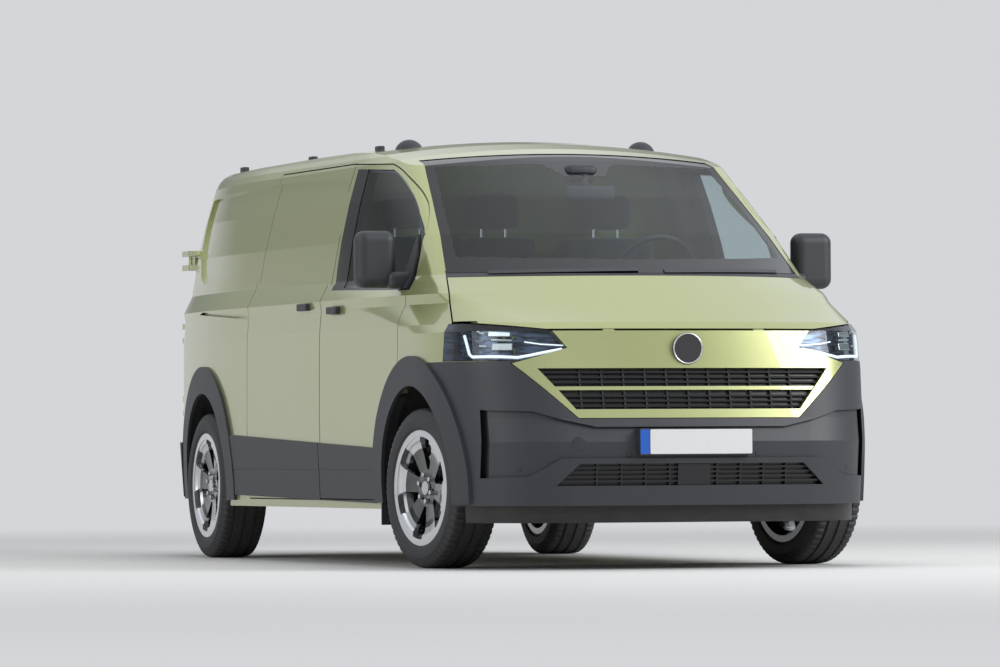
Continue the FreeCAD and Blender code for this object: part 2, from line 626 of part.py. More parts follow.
# Dark claddings over the arches and along the sills, mud flaps and the sliding handle
ring_hole = arch(FRONT_AXLE, size("arch_opening") - 6).fuse(
    arch(REAR_AXLE, size("arch_opening") - 6))
rings = trim_zone.common(arch_ring.fuse(rear_ring)).cut(ring_hole)
rings = rings.cut(block((-FAR, FAR), (-FAR, FAR), (0, 290)))
sill_fixed = sill_trim.common(block((0, FAR), (PILLAR_Y + SEAM, FAR), (0, FAR)))
sill_under = sill_trim.common(block((0, FAR), (-FAR, PILLAR_Y), (0, size("door_bottom"))))
sill_fixed = sill_fixed.fuse(sill_under).cut(arch_ring.fuse(rear_ring))
flap = block((850, 1000), (FRONT_AXLE + 466, FRONT_AXLE + 474), (190, 330))
flap_seat = block((850, 970), (FRONT_AXLE + 466, FRONT_AXLE + 500), (262, 330))
flaps = flap.fuse(flap_seat.cut(outer_form)).cut(body)
clad = rings.fuse(sill_fixed)
slide_grip = mirrored(grip(FRONT_AXLE + 1701, 1204))
keep("claddings", Part.Compound(clad.Solids + mirrored(clad).Solids + slide_grip.Solids
                                + flap.cut(body).Solids + mirrored(flap.cut(body)).Solids))

# Rear bumper
step = form(-22, 0, 300, 575).cut(form(0, 0, 295, 580))
step = step.common(block((-FAR, FAR), (REAR_AXLE + 300, FAR), (0, FAR))).cut(
    [rear_ring, mirrored(rear_ring)])
keep("rear_bumper", step)

# Floors, bulkhead and firewall
deck = Part.Face(plan_wire(between(540, 540)[0], WALL + 9)).extrude(UP * 100)
deck.translate(UP * (size("floor_top") - 540 - 100))
load_floor = deck.common(block((-FAR, FAR), (PILLAR_Y + 60, REAR - 92),
                               (size("floor_top") - size("floor_thick"), FAR)))
cab_floor = block((-790, 790), (DOOR_Y - 70, PILLAR_Y + 120), (480, 516))
firewall = prism([(-930, 480), (930, 480), (930, 1085), (880, 1240), (-880, 1240),
                  (-930, 1085)], "xz", DOOR_Y - 90, DOOR_Y - 70)
rails = [block((x - 35, x + 35), (FRONT + 320, REAR - 160), (410, 480)) for x in (-480, 480)]
rails += [block((-480, 480), (y - 40, y + 40), (430, 480))
          for y in (FRONT + 340, 300, REAR - 200)]
posts = [block((x - 35, x + 35), (PILLAR_Y + 60, REAR - 160), (470, 520)) for x in (-480, 480)]
floor = load_floor.fuse([cab_floor, firewall] + rails + posts)
house_clear = [arch(y, 490, 556, 1000) for y in (FRONT_AXLE, REAR_AXLE)]
floor = floor.cut(house_clear + [mirrored(c) for c in house_clear])
GROOVE = 4
groove = block((-FAR, FAR), (PILLAR_Y + 64, PILLAR_Y + 94), (size("floor_top") - GROOVE, FAR))
floor = floor.cut(groove)
keep("floor", floor)
wall_zone = form(WALL + 8, size("roof_wall"), size("floor_top") - GROOVE)
wall_plate = wall_zone.common(block((-FAR, FAR), (PILLAR_Y + 66, PILLAR_Y + 92), (0, FAR)))
keep("bulkhead", wall_plate.cut([frame_side, mirrored(frame_side)]))

tub_zone = form(WALL, 0, 516, 880)
houses = []
for y in (FRONT_AXLE, REAR_AXLE):
    tub = arch(y, 488, 558, 970).cut(arch(y, 482, 564, 980))
    houses += tub.common(tub_zone).cut(frame_side).Solids[:1]

lip_low, lip_inset, lip_thick = 206, 36, 50
under = form(lip_inset, 0, lip_low, size("bumper_bottom")).common(
    block((-FAR, FAR), (-FAR, FRONT_AXLE - 470), (lip_low, size("bumper_bottom"))))
under = under.cut(form(lip_inset + lip_thick, 0, lip_low - 5, size("bumper_bottom") - 6))
keep("underbody_panels", Part.Compound(
    houses + [mirrored(h) for h in houses] + under.cut(bumper).Solids))

# Cab: dashboard, steering wheel and seats
dash_edge = [(FRONT_AXLE - 420, 1232), (FRONT_AXLE - 300, 1290), (FRONT_AXLE + 500, 1296),
             (FRONT_AXLE + 560, 1240), (FRONT_AXLE + 540, 1120), (FRONT_AXLE + 400, 900),
             (FRONT_AXLE + 250, 900), (FRONT_AXLE + 160, 1232)]
dash = form(WALL + 20, 0, 890, 1300).common(prism(dash_edge, "yz", -FAR, FAR))
dash = dash.cut([frame_side, mirrored(frame_side), floor])
keep("dashboard", dash)
wheel_at = Vector(395, FRONT_AXLE + 690, 1345)
wheel_way = Vector(0, 0.87, 0.5)
rim = Part.makeTorus(186, 15, wheel_at, wheel_way)
hub = Part.makeCylinder(60, 40, wheel_at - wheel_way * 40, wheel_way)
column = Part.makeCylinder(32, 210, wheel_at - wheel_way * 230, wheel_way)
bars = [rod(wheel_at - wheel_way * 18, wheel_at + Vector(x, 0.5 * z, -0.87 * z), 12)
        for x, z in ((-184, 0), (184, 0), (0, 184))]
keep("steering_wheel", rim.fuse([hub, column] + bars).cut(dash))


def seat(x, width):
    y = FRONT_AXLE + 880
    base = block((x - width / 2 + 40, x + width / 2 - 40), (y + 40, y + 420), (516, 760))
    pad = soft_block((x - width / 2, x + width / 2), (y, y + 500), (760, 920), 40)
    back = soft_block((x - width / 2, x + width / 2), (y + 430, y + 550), (860, 1540), 45)
    rest = soft_block((x - 130, x + 130), (y + 440, y + 540), (1560, 1740), 40)
    stems = [rod(Vector(x + s, y + 490, 1500), Vector(x + s, y + 490, 1600), 7)
             for s in (-60, 60)]
    return base.fuse([pad, back, rest] + stems)


keep("seats", Part.Compound([seat(395, 500), seat(-165, 440), seat(-592, 390)]))

# Engine, axles, exhaust and tank under the floor
keep("engine", block((-300, 300), (FRONT_AXLE - 420, FRONT_AXLE + 90), (480, 950)))
sub = block((-440, 440), (FRONT_AXLE - 160, FRONT_AXLE + 200), (250, 300))
sub = sub.fuse([block((x - 30, x + 30), (FRONT_AXLE - 60, FRONT_AXLE + 60), (290, 410))
                for x in (-480, 480)])
sub = sub.fuse([block((-510, 510), (FRONT_AXLE - 60, FRONT_AXLE + 60), (250, 300))])
STEER_X = WHEEL_X - 78
KING_PIN = 10
SPINDLE_END = 74
for sign in (-1, 1):
    tip = Vector(sign * STEER_X, FRONT_AXLE, 214)
    top = Vector(sign * STEER_X, FRONT_AXLE, 504)
    arms = [Part.makeCylinder(22, 28, spot - UP * 14) for spot in (tip, top)]
    for y in (-55, 55):
        arms.append(rod(Vector(sign * 420, FRONT_AXLE + y, 275), tip, 16))
        arms.append(rod(Vector(sign * 480, FRONT_AXLE + y * 0.8, 400), top, 14))
    bores = [Part.makeCylinder(KING_PIN + 0.05, 80, spot - UP * 40) for spot in (tip, top)]
    sub = sub.fuse(arms).cut(bores)
sub = sub.cut(floor)
keep("front_axle", sub)


def knuckle(sign):
    """Steering knuckle: an upright on two pins that carries the hub's spindle."""
    x = STEER_X
    upright = block((x - 22, x + 22), (-30, 30), (-HUB + 242, -HUB + 470))
    spindle = Part.makeCylinder(30, WHEEL_X + SPINDLE_END - x, Vector(x, 0, 0), ACROSS)
    steer_arm = block((x - 12, x + 12), (0, 130), (-60, -30))
    pins = Part.makeCylinder(KING_PIN, 326, Vector(x, 0, 196 - HUB))
    whole = upright.fuse([spindle, steer_arm, pins])
    return whole if sign > 0 else mirrored(whole)


axle = rod(Vector(-WHEEL_X + 130, REAR_AXLE, HUB), Vector(WHEEL_X - 130, REAR_AXLE, HUB), 42)
for sign in (-1, 1):
    axle = axle.fuse(rod(Vector(sign * (WHEEL_X - 140), REAR_AXLE, HUB),
                         Vector(sign * (WHEEL_X + SPINDLE_END), REAR_AXLE, HUB), 30))
    axle = axle.fuse(block((sign * 480 - 30, sign * 480 + 30),
                           (REAR_AXLE - 520, REAR_AXLE - 440), (300, 412)))
    axle = axle.fuse(rod(Vector(sign * 480, REAR_AXLE - 480, 330),
                         Vector(sign * 560, REAR_AXLE, HUB), 28))
    axle = axle.fuse(Part.makeCylinder(55, 60, Vector(sign * 480, REAR_AXLE, HUB)))
axle = axle.cut(floor)
keep("rear_axle", axle)
muffler_box = block((-420, -180), (FRONT_AXLE + 1900, FRONT_AXLE + 2400), (280, 410))
muffler = muffler_box.makeFillet(40, [e for e in muffler_box.Edges if e.Length > 400])
pipe = rod(Vector(-300, FRONT_AXLE + 60, 340), Vector(-300, FRONT_AXLE + 1950, 340), 28)
riser = block((-330, -270), (FRONT_AXLE + 30, FRONT_AXLE + 90), (330, 480))
hanger = block((-310, -290), (FRONT_AXLE + 2100, FRONT_AXLE + 2140), (400, 516))
tail_pipe = rod(Vector(-300, FRONT_AXLE + 2380, 345), Vector(-300, FRONT_AXLE + 2900, 345), 28)
keep("exhaust", muffler.fuse([pipe, riser, hanger, tail_pipe]).cut([sub, floor]))
tank_box = block((60, 430), (FRONT_AXLE + 1500, FRONT_AXLE + 2500), (290, 516))
tank = tank_box.makeFillet(45, [e for e in tank_box.Edges if e.Length > 900])
keep("fuel_tank", tank.cut(floor))

# Roof fittings: two domes and six rail feet
fittings = []
for sign in (-1, 1):
    dome = Part.makeSphere(70, Vector(sign * 575, FRONT_AXLE + 1376, 1915))
    fittings.append(dome)
    for y in (1632, 2736, 3950):
        fittings.append(soft_block((sign * 640 - 16, sign * 640 + 16),
                                   (FRONT_AXLE + y - 32, FRONT_AXLE + y + 32),
                                   (1900, 1966), 6))
keep("roof_fittings", Part.Compound([f.cut(outer_form) for f in fittings]))


# Wheels: the tyre and rim are turned about X at the origin, then placed.
def turned(points):
    """A ring turned about X from a closed outline of x and radius."""
    face, _ = outline(points, "xy", 0, 1)
    return face.revolve(Vector(0, 0, 0), ACROSS, 360)


def tyre_shape():
    """Tyre whose beads sit between the rim's flanges, seated off the rim all round."""
    half, radius = size("tyre_width") / 2, size("tyre_radius")
    seat_half, flange = size("rim_width") / 2, size("rim_radius")
    side = [(seat_half - 12 - SEATED, flange - 12), (seat_half - 9 - SEATED, flange + SEATED),
            (seat_half, flange + 3), (half - 3, flange + 16), (half, flange + 42),
            (half - 5, radius - 42), (half - 10, radius - 26), (half - 16, radius - 9),
            (half - 38, radius - 1.5)]
    return turned([(-x, r) for x, r in side] + [(0, radius)] + side[::-1])


def rim_shape():
    half, flange = size("rim_width") / 2, size("rim_radius")
    bed = flange - 13
    barrel = turned([
        (-half, flange), (-half, bed - 16), (-half + 40, bed - 38), (half - 70, bed - 38),
        (half - 30, bed - 16), (half, bed - 16), (half, flange), (half - 9, flange),
        (half - 12, bed), (half - 46, bed - 1), (half - 70, bed - 26), (-half + 44, bed - 26),
        (-half + 26, bed - 1), (-half + 12, bed), (-half + 9, flange)])
    disc_edge = [(half - 62, 30.05), (half - 62, 78), (half - 44, 150), (half - 26, bed - 12),
                 (half - 3, bed - 12), (half - 3, 212), (half - 12, 203), (half - 24, 150),
                 (half - 33, 84), (half - 33, 46), (half - 36, 40), (half - 36, 30.05)]
    disc = turned(disc_edge)
    window = [(10, 84), (50, 188), (41, 238), (-41, 238), (-50, 188), (-10, 84)]
    tool = prism(window, "yz", half - 120, half + 20)
    tools = []
    for number in range(6):
        tools.append(tool.rotated(Vector(0, 0, 0), ACROSS, 60 * number + 10))
        hole = Part.makeCylinder(9, 80, Vector(half - 46, 60, 0), ACROSS)
        tools.append(hole.rotated(Vector(0, 0, 0), ACROSS, 60 * number + 10))
    return barrel.fuse(disc.cut(tools))


tyre_solid = tyre_shape()
rim_solid = rim_shape()
lean = FreeCAD.Rotation(UP, size("rest_steer"))
straight = FreeCAD.Rotation(UP, 0)
STATIONS = [("front_left", 1, FRONT_AXLE), ("front_right", -1, FRONT_AXLE),
            ("rear_left", 1, REAR_AXLE), ("rear_right", -1, REAR_AXLE)]
for name, sign, y in STATIONS:
    pivot = Vector(sign * STEER_X, 0, 0)
    steered = y == FRONT_AXLE
    for kind, solid in (("tyre", tyre_solid), ("rim", rim_solid)):
        shape = solid if sign > 0 else mirrored(solid)
        shape = shape.translated(Vector(sign * WHEEL_X, 0, 0))
        if steered:
            shape = shape.rotated(pivot, UP, size("rest_steer"))
        keep(f"{kind}_{name}", shape.translated(Vector(0, y, HUB)))
    if steered:
        shape = knuckle(sign).rotated(pivot, UP, size("rest_steer"))
        keep(f"knuckle_{name.split('_')[1]}", shape.translated(Vector(0, y, HUB)))

for piece in doc.Objects:
    if "Invalid" in piece.State or "Error" in piece.State:
        raise RuntimeError(f"{piece.Label}: {piece.State}")
os.makedirs("parts", exist_ok=True)
for piece in PIECES:
    if piece.Shape.isNull() or not piece.Shape.isValid():
        raise RuntimeError(f"{piece.Label} is not a valid shape")
    piece.Shape.exportStep(f"parts/{piece.Label}.step")
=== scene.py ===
import json
import math

import bmesh
import bpy
import numpy as np
from mathutils import Matrix, Vector


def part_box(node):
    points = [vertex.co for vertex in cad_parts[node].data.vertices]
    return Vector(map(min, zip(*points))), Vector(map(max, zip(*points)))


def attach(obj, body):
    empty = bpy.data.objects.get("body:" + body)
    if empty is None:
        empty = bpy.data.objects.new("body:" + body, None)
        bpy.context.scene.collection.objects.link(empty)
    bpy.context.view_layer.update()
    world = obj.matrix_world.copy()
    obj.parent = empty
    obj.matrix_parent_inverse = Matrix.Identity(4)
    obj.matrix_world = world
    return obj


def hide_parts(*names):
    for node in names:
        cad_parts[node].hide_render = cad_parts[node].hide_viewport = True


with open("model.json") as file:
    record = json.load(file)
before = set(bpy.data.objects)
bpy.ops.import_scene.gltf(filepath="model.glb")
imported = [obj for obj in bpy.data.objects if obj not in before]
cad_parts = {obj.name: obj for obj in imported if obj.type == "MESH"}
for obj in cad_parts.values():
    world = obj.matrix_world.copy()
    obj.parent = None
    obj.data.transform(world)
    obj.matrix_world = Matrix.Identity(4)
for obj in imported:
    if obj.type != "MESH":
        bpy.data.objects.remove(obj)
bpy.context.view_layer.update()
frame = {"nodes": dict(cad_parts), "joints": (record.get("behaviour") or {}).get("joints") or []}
nodes = frame["nodes"]
scene = bpy.context.scene

# Camera. A long lens 31 m from the van's middle and half a metre over the ground, turned 18
# degrees off the van's axis and tilted up by one.
camera = bpy.data.objects.new("camera", bpy.data.cameras.new("camera"))
scene.collection.objects.link(camera)
camera.data.sensor_width = 36
camera.data.lens = 233.97
camera.data.clip_end = 400
camera.matrix_world = (
    Matrix.Translation((-9.7032, -29.4375, 0.525))
    @ Matrix.Rotation(math.radians(-18.2224), 4, "Z")
    @ Matrix.Rotation(math.radians(91.0298), 4, "X")
    @ Matrix.Rotation(math.radians(-0.3315), 4, "Z"))
scene.camera = camera
scene.view_settings.view_transform = "Standard"

# Surroundings. Soft light from all round, brighter overhead. The camera, reflections and clear
# parts see a pale backdrop instead, with a dark band low over the horizon.


def toned(tree, value, *stops):
    """Turn a value into colours along a ramp, through stops of a place and a colour."""
    ramp = tree.nodes.new("ShaderNodeValToRGB")
    marks = ramp.color_ramp.elements
    marks[0].position, marks[1].position = stops[0][0], stops[-1][0]
    marks[0].color, marks[1].color = (*stops[0][1], 1), (*stops[-1][1], 1)
    for place, colour in stops[1:-1]:
        marks.new(place).color = (*colour, 1)
    tree.links.new(value, ramp.inputs[0])
    return ramp.outputs[0]


def combined(tree, operation, values):
    """Chain values with one maths operation."""
    total = values[0]
    for value in values[1:]:
        join = tree.nodes.new("ShaderNodeMath")
        join.operation = operation
        tree.links.new(total, join.inputs[0])
        tree.links.new(value, join.inputs[1])
        total = join.outputs[0]
    return total


world = bpy.data.worlds.new("studio")
scene.world = world
world.use_nodes = True
tree = world.node_tree
tree.nodes.clear()
output = tree.nodes.new("ShaderNodeOutputWorld")
blend = tree.nodes.new("ShaderNodeMixShader")
seen = tree.nodes.new("ShaderNodeBackground")
lit = tree.nodes.new("ShaderNodeBackground")
path = tree.nodes.new("ShaderNodeLightPath")
coords = tree.nodes.new("ShaderNodeTexCoord")
split = tree.nodes.new("ShaderNodeSeparateXYZ")
seen.inputs["Strength"].default_value = 1
lit.inputs["Strength"].default_value = 0.55
tree.links.new(coords.outputs["Generated"], split.inputs[0])
backdrop = toned(tree, split.outputs["Z"], (0.10, (0.66, 0.67, 0.69)), (0.14, (0.20, 0.22, 0.21)),
                 (0.24, (0.27, 0.29, 0.30)), (0.36, (0.86, 0.90, 0.94)), (1.0, (0.92, 0.96, 1.0)))
sky = toned(tree, split.outputs["Z"], (0.0, (0.50, 0.48, 0.45)), (0.30, (0.42, 0.45, 0.48)),
            (0.62, (0.72, 0.76, 0.80)), (1.0, (1.0, 1.0, 1.0)))
shown = combined(tree, "MAXIMUM", [path.outputs[f"Is {kind} Ray"]
                                   for kind in ("Camera", "Transmission", "Glossy")])
tree.links.new(backdrop, seen.inputs["Color"])
tree.links.new(sky, lit.inputs["Color"])
tree.links.new(shown, blend.inputs[0])
tree.links.new(lit.outputs[0], blend.inputs[1])
tree.links.new(seen.outputs[0], blend.inputs[2])
tree.links.new(blend.outputs[0], output.inputs[0])

# Lights. A large soft key above the front on the left side, a weaker fill low on the right
# side and a faint one over the roof, which no polished part mirrors.


def new_object(name, data):
    """Add an object to the scene."""
    item = bpy.data.objects.new(name, data)
    scene.collection.objects.link(item)
    return item


for name, power, size, spot, aim in (
        ("key_light", 1250, 7.0, (9.0, -9.0, 7.0), (0.3, -1.5, 1.0)),
        ("fill_light", 330, 7.0, (-11.0, -3.0, 4.5), (-0.8, -0.5, 0.9)),
        ("top_light", 260, 5.0, (0.5, 0.0, 8.0), (0.0, 0.0, 1.0))):
    data = bpy.data.lights.new(name, "AREA")
    data.shape = "SQUARE"
    data.size = size
    data.energy = power
    lamp = new_object(name, data)
    lamp.location = spot
    lamp.visible_glossy = name != "top_light"
    lamp.rotation_euler = (Vector(aim) - Vector(spot)).to_track_quat("-Z", "Y").to_euler()

# Floor. A wide pale ground with a dull finish. Between 4 and 15 m from the van's middle it fades
# into the backdrop's colour.


def shaded(name, settings):
    """A new material with the given inputs set on its main shader."""
    material = bpy.data.materials.new(name)
    material.use_nodes = True
    tree = material.node_tree
    surface = tree.nodes["Principled BSDF"]
    for label, value in settings.items():
        surface.inputs[label].default_value = value
    return material, tree, surface


def layered(tree, share, below, above):
    """Lay one shader over another by a share, as the material's surface."""
    mix = tree.nodes.new("ShaderNodeMixShader")
    for value, socket in zip((share, below, above), mix.inputs):
        tree.links.new(value, socket)
    tree.links.new(mix.outputs[0], tree.nodes["Material Output"].inputs["Surface"])
    return mix


bpy.ops.mesh.primitive_circle_add(vertices=96, radius=150, fill_type="NGON")
ground = bpy.context.object
ground.name = "studio_floor"
material, tree, surface = shaded("studio_floor", {"Base Color": (0.70, 0.70, 0.70, 1),
                                                  "Roughness": 0.75})
glow = tree.nodes.new("ShaderNodeEmission")
glow.inputs["Color"].default_value = (0.66, 0.67, 0.69, 1)
where = tree.nodes.new("ShaderNodeTexCoord")
reach = tree.nodes.new("ShaderNodeVectorMath")
reach.operation = "LENGTH"
scale = tree.nodes.new("ShaderNodeMapRange")
scale.inputs["From Min"].default_value = 4
scale.inputs["From Max"].default_value = 15
scale.interpolation_type = "SMOOTHSTEP"
tree.links.new(where.outputs["Object"], reach.inputs[0])
tree.links.new(reach.outputs["Value"], scale.inputs["Value"])
layered(tree, scale.outputs["Result"], surface.outputs[0], glow.outputs[0])
ground.data.materials.append(material)

# Body paint. Yellow-green metallic under clear lacquer, on every outer panel: fine flakes
# shift its brightness a little. Inside the wheel arches it is hidden by a black liner.


def patterned(tree, surface, texture, scale, low, high, places=(0.0, 1.0), held=False):
    """Run a shader's base colour between two tones along a fine pattern."""
    pattern = tree.nodes.new(f"ShaderNodeTex{texture}")
    pattern.inputs["Scale"].default_value = scale
    if held:
        where = tree.nodes.new("ShaderNodeTexCoord")
        tree.links.new(where.outputs["Object"], pattern.inputs["Vector"])
    tone = toned(tree, pattern.outputs[0], (places[0], low), (places[1], high))
    tree.links.new(tone, surface.inputs["Base Color"])
    return pattern


def dress(names, material):
    """Give the named nodes one material."""
    for name in names:
        nodes[name].data.materials.clear()
        nodes[name].data.materials.append(material)


paint, tree, surface = shaded("body_paint", {"Metallic": 0.55, "Roughness": 0.34,
                                             "Coat Weight": 1.0, "Coat Roughness": 0.03})
flakes = patterned(tree, surface, "Noise", 900, (0.355, 0.378, 0.155), (0.465, 0.490, 0.222),
                   places=(0.35, 0.65), held=True)
flakes.inputs["Detail"].default_value = 2
liner = tree.nodes.new("ShaderNodeBsdfPrincipled")
liner.inputs["Base Color"].default_value = (0.010, 0.010, 0.011, 1)
liner.inputs["Roughness"].default_value = 0.8
where = tree.nodes.new("ShaderNodeTexCoord")
hub_height = 0.359
liner_radius = 0.478
arches = []
for axle_y in (-1.740, 1.760):
    flat = tree.nodes.new("ShaderNodeVectorMath")
    flat.operation = "MULTIPLY_ADD"
    flat.inputs[1].default_value = (0, 1, 1)
    flat.inputs[2].default_value = (0, -axle_y, -hub_height)
    reach = tree.nodes.new("ShaderNodeVectorMath")
    reach.operation = "LENGTH"
    under = tree.nodes.new("ShaderNodeMath")
    under.operation = "LESS_THAN"
    under.inputs[1].default_value = liner_radius
    tree.links.new(where.outputs["Object"], flat.inputs[0])
    tree.links.new(flat.outputs["Vector"], reach.inputs[0])
    tree.links.new(reach.outputs["Value"], under.inputs[0])
    arches.append(under.outputs[0])
painted = layered(tree, combined(tree, "MAXIMUM", arches), surface.outputs[0], liner.outputs[0])
painted.name = "painted"
dress(("body_shell", "roof", "hood", "front_panels", "front_door_left", "front_door_right",
       "rear_door_left", "rear_door_right", "sliding_door"), paint)

# Black window frames. A gloss black surround 14 mm wide follows each door window and widens
# to 170 mm behind it, up to the pillar.


def past_line(tree, along, points, tested, operation):
    """Whether a value lies under or over a broken line that is drawn along another value."""
    curve = tree.nodes.new("ShaderNodeFloatCurve")
    curve.mapping.use_clip = False
    curve.mapping.clip_max_x = 3
    curve.mapping.clip_max_y = 3
    line = curve.mapping.curves[0]
    while len(line.points) < len(points):
        line.points.new(0.5, 0.5)
    for handle, spot in zip(line.points, points):
        handle.location = spot
        handle.handle_type = "VECTOR"
    curve.mapping.update()
    tree.links.new(along, curve.inputs["Value"])
    test = tree.nodes.new("ShaderNodeMath")
    test.operation = operation
    tree.links.new(tested, test.inputs[0])
    tree.links.new(curve.outputs[0], test.inputs[1])
    return test.outputs[0]


framed = paint.copy()
framed.name = "door_paint"
tree = framed.node_tree
gloss = tree.nodes.new("ShaderNodeBsdfPrincipled")
gloss.inputs["Base Color"].default_value = (0.008, 0.008, 0.009, 1)
gloss.inputs["Roughness"].default_value = 0.12
where = tree.nodes.new("ShaderNodeTexCoord")
split = tree.nodes.new("ShaderNodeSeparateXYZ")
tree.links.new(where.outputs["Object"], split.inputs[0])
# The curves take no values under 0, so Y is counted from 2 m before the origin.
shifted = tree.nodes.new("ShaderNodeMath")
shifted.inputs[1].default_value = 2
tree.links.new(split.outputs["Y"], shifted.inputs[0])
along, high = shifted.outputs[0], split.outputs["Z"]
inside = combined(tree, "MULTIPLY", [
    past_line(tree, along, ((0.50, 1.46), (0.59, 1.535), (0.80, 1.672), (1.16, 1.822),
                            (1.72, 1.848)), high, "LESS_THAN"),
    past_line(tree, along, ((0.50, 1.250), (1.72, 1.278)), high, "GREATER_THAN"),
    past_line(tree, high, ((1.20, 1.595), (1.90, 1.655)), along, "LESS_THAN")])
layered(tree, inside, tree.nodes["painted"].outputs[0], gloss.outputs[0])
dress(("front_door_left", "front_door_right"), framed)

# Inner structure. Load floor, bulkhead and inner frame are welded sheet steel in the body's
# colour, sprayed thinner and duller and left without lacquer.
primer, tree, surface = shaded("inner_paint", {"Metallic": 0.2, "Roughness": 0.5})
patterned(tree, surface, "Noise", 12, (0.20, 0.22, 0.08), (0.30, 0.32, 0.13))
dress(("floor", "bulkhead", "inner_frame"), primer)

# Grained dark plastic. Bumpers, arch rings, sills, mirror heads, door handles, cowl, roof
# fittings, dash and steering wheel are moulded with a fine leather grain and a dull sheen.


def grained(tree, surface, pattern, strength, distance):
    """Let a pattern roughen a shader's surface."""
    bump = tree.nodes.new("ShaderNodeBump")
    bump.inputs["Strength"].default_value = strength
    bump.inputs["Distance"].default_value = distance
    tree.links.new(pattern.outputs[0], bump.inputs["Height"])
    tree.links.new(bump.outputs[0], surface.inputs["Normal"])


plastic, tree, surface = shaded("dark_plastic", {"Roughness": 0.5})
grain = patterned(tree, surface, "Voronoi", 420, (0.022, 0.024, 0.029), (0.038, 0.041, 0.048),
                  held=True)
grained(tree, surface, grain, 0.12, 0.001)
dress(("front_bumper", "rear_bumper", "claddings", "front_door_trim_left",
       "front_door_trim_right", "cowl_and_wipers", "roof_fittings", "dashboard",
       "steering_wheel"), plastic)

# Grilles. Slats and ribs moulded in deep black plastic, smoother than the bumper round them,
# and fixed in the openings of the nose and the bumper.
slats, tree, surface = shaded("grille_black", {"Roughness": 0.32})
patterned(tree, surface, "Noise", 180, (0.006, 0.006, 0.007), (0.014, 0.014, 0.016))
dress(("grilles",), slats)

# Running gear. Axles, knuckles, engine block, exhaust, tank and the panels under the body have
# satin black paint, a little uneven with dust.
black, tree, surface = shaded("black_steel", {"Metallic": 0.3, "Roughness": 0.45})
patterned(tree, surface, "Noise", 25, (0.012, 0.012, 0.012), (0.035, 0.034, 0.032))
dress(("engine", "front_axle", "knuckle_left", "knuckle_right", "rear_axle", "fuel_tank",
       "underbody_panels", "exhaust"), black)

# Glass. Slightly grey panes that mirror more at a slant, on their outer side. The windscreen has
# a black band round its edge, wider along the bottom and where the sensors sit.
clear, tree, surface = shaded("glass", {})
tree.nodes.remove(surface)
through = tree.nodes.new("ShaderNodeBsdfTransparent")
through.inputs["Color"].default_value = (0.80, 0.86, 0.87, 1)
sheen = tree.nodes.new("ShaderNodeBsdfGlossy")
sheen.inputs["Roughness"].default_value = 0.02
slant = tree.nodes.new("ShaderNodeFresnel")
slant.inputs["IOR"].default_value = 1.45
facing = tree.nodes.new("ShaderNodeNewGeometry")
outside = tree.nodes.new("ShaderNodeMath")
outside.operation = "SUBTRACT"
outside.inputs[0].default_value = 1
tree.links.new(facing.outputs["Backfacing"], outside.inputs[1])
mirror = combined(tree, "MULTIPLY", [slant.outputs[0], outside.outputs[0]])
layered(tree, mirror, through.outputs[0], sheen.outputs[0]).name = "pane"
dress(("front_glass_left", "front_glass_right"), clear)

screen = clear.copy()
screen.name = "windscreen"
tree = screen.node_tree
band = tree.nodes.new("ShaderNodeBsdfPrincipled")
band.inputs["Base Color"].default_value = (0.006, 0.006, 0.008, 1)
band.inputs["Roughness"].default_value = 0.10
where = tree.nodes.new("ShaderNodeTexCoord")
split = tree.nodes.new("ShaderNodeSeparateXYZ")
side = tree.nodes.new("ShaderNodeMath")
side.operation = "ABSOLUTE"
tree.links.new(where.outputs["Object"], split.inputs[0])
tree.links.new(split.outputs["X"], side.inputs[0])
across, high = side.outputs[0], split.outputs["Z"]
edge = combined(tree, "MAXIMUM", [
    past_line(tree, across, ((0.0, 1.376), (0.5, 1.384), (0.83, 1.398)), high, "LESS_THAN"),
    past_line(tree, across, ((0.0, 1.782), (0.10, 1.782), (0.17, 1.842), (0.70, 1.826)), high,
              "GREATER_THAN"),
    past_line(tree, high, ((1.32, 0.790), (1.60, 0.727), (1.87, 0.655)), across,
              "GREATER_THAN")])
layered(tree, edge, tree.nodes["pane"].outputs[0], band.outputs[0])
dress(("windscreen",), screen)

# Tyres. Wide road tyres 718 mm across with three grooves round the tread, cut shoulder
# blocks, fine slits on the ribs and a smooth sidewall with a rib that guards the rim.
rubber, tree, surface = shaded("tyre_rubber", {"Roughness": 0.62})
patterned(tree, surface, "Noise", 60, (0.018, 0.018, 0.019), (0.042, 0.042, 0.044))
fine = tree.nodes.new("ShaderNodeTexNoise")
fine.inputs["Scale"].default_value = 700
grained(tree, surface, fine, 0.15, 0.0006)

tyre_radius = 0.359
pitches = 66
steps = 5
sidewall = [(0.0955, 0.2465), (0.1010, 0.2475), (0.1035, 0.2510), (0.1085, 0.2620),
            (0.1090, 0.2660), (0.1145, 0.2720), (0.1168, 0.2860), (0.1173, 0.3000),
            (0.1166, 0.3120), (0.1148, 0.3140), (0.1125, 0.3240), (0.1080, 0.3330),
            (0.1050, 0.3420), (0.1005, 0.3500), (0.0935, 0.3545), (0.0850, 0.3568)]
groove_depth, shoulder_cut, slit_depth = 0.008, 0.0062, 0.0035
crown_drop, half_tread = 0.0015, 0.0795
shoulder_start, shoulder_foot, rib_middle = 0.0615, 0.331, 0.028
crossing = [(0.0780, 0), (0.0620, 0), (0.0595, 1), (0.0495, 1), (0.0470, 0), (0.0280, 0),
            (0.0090, 0), (0.0065, 1), (-0.0065, 1), (-0.0090, 0), (-0.0280, 0),
            (-0.0470, 0), (-0.0495, 1), (-0.0595, 1), (-0.0620, 0), (-0.0780, 0)]
section = list(sidewall)
for across, sunk in crossing:
    crown = tyre_radius - crown_drop * (across / half_tread) ** 2
    section.append((across, crown - groove_depth * sunk))
section += [(-across, radius) for across, radius in reversed(sidewall)]
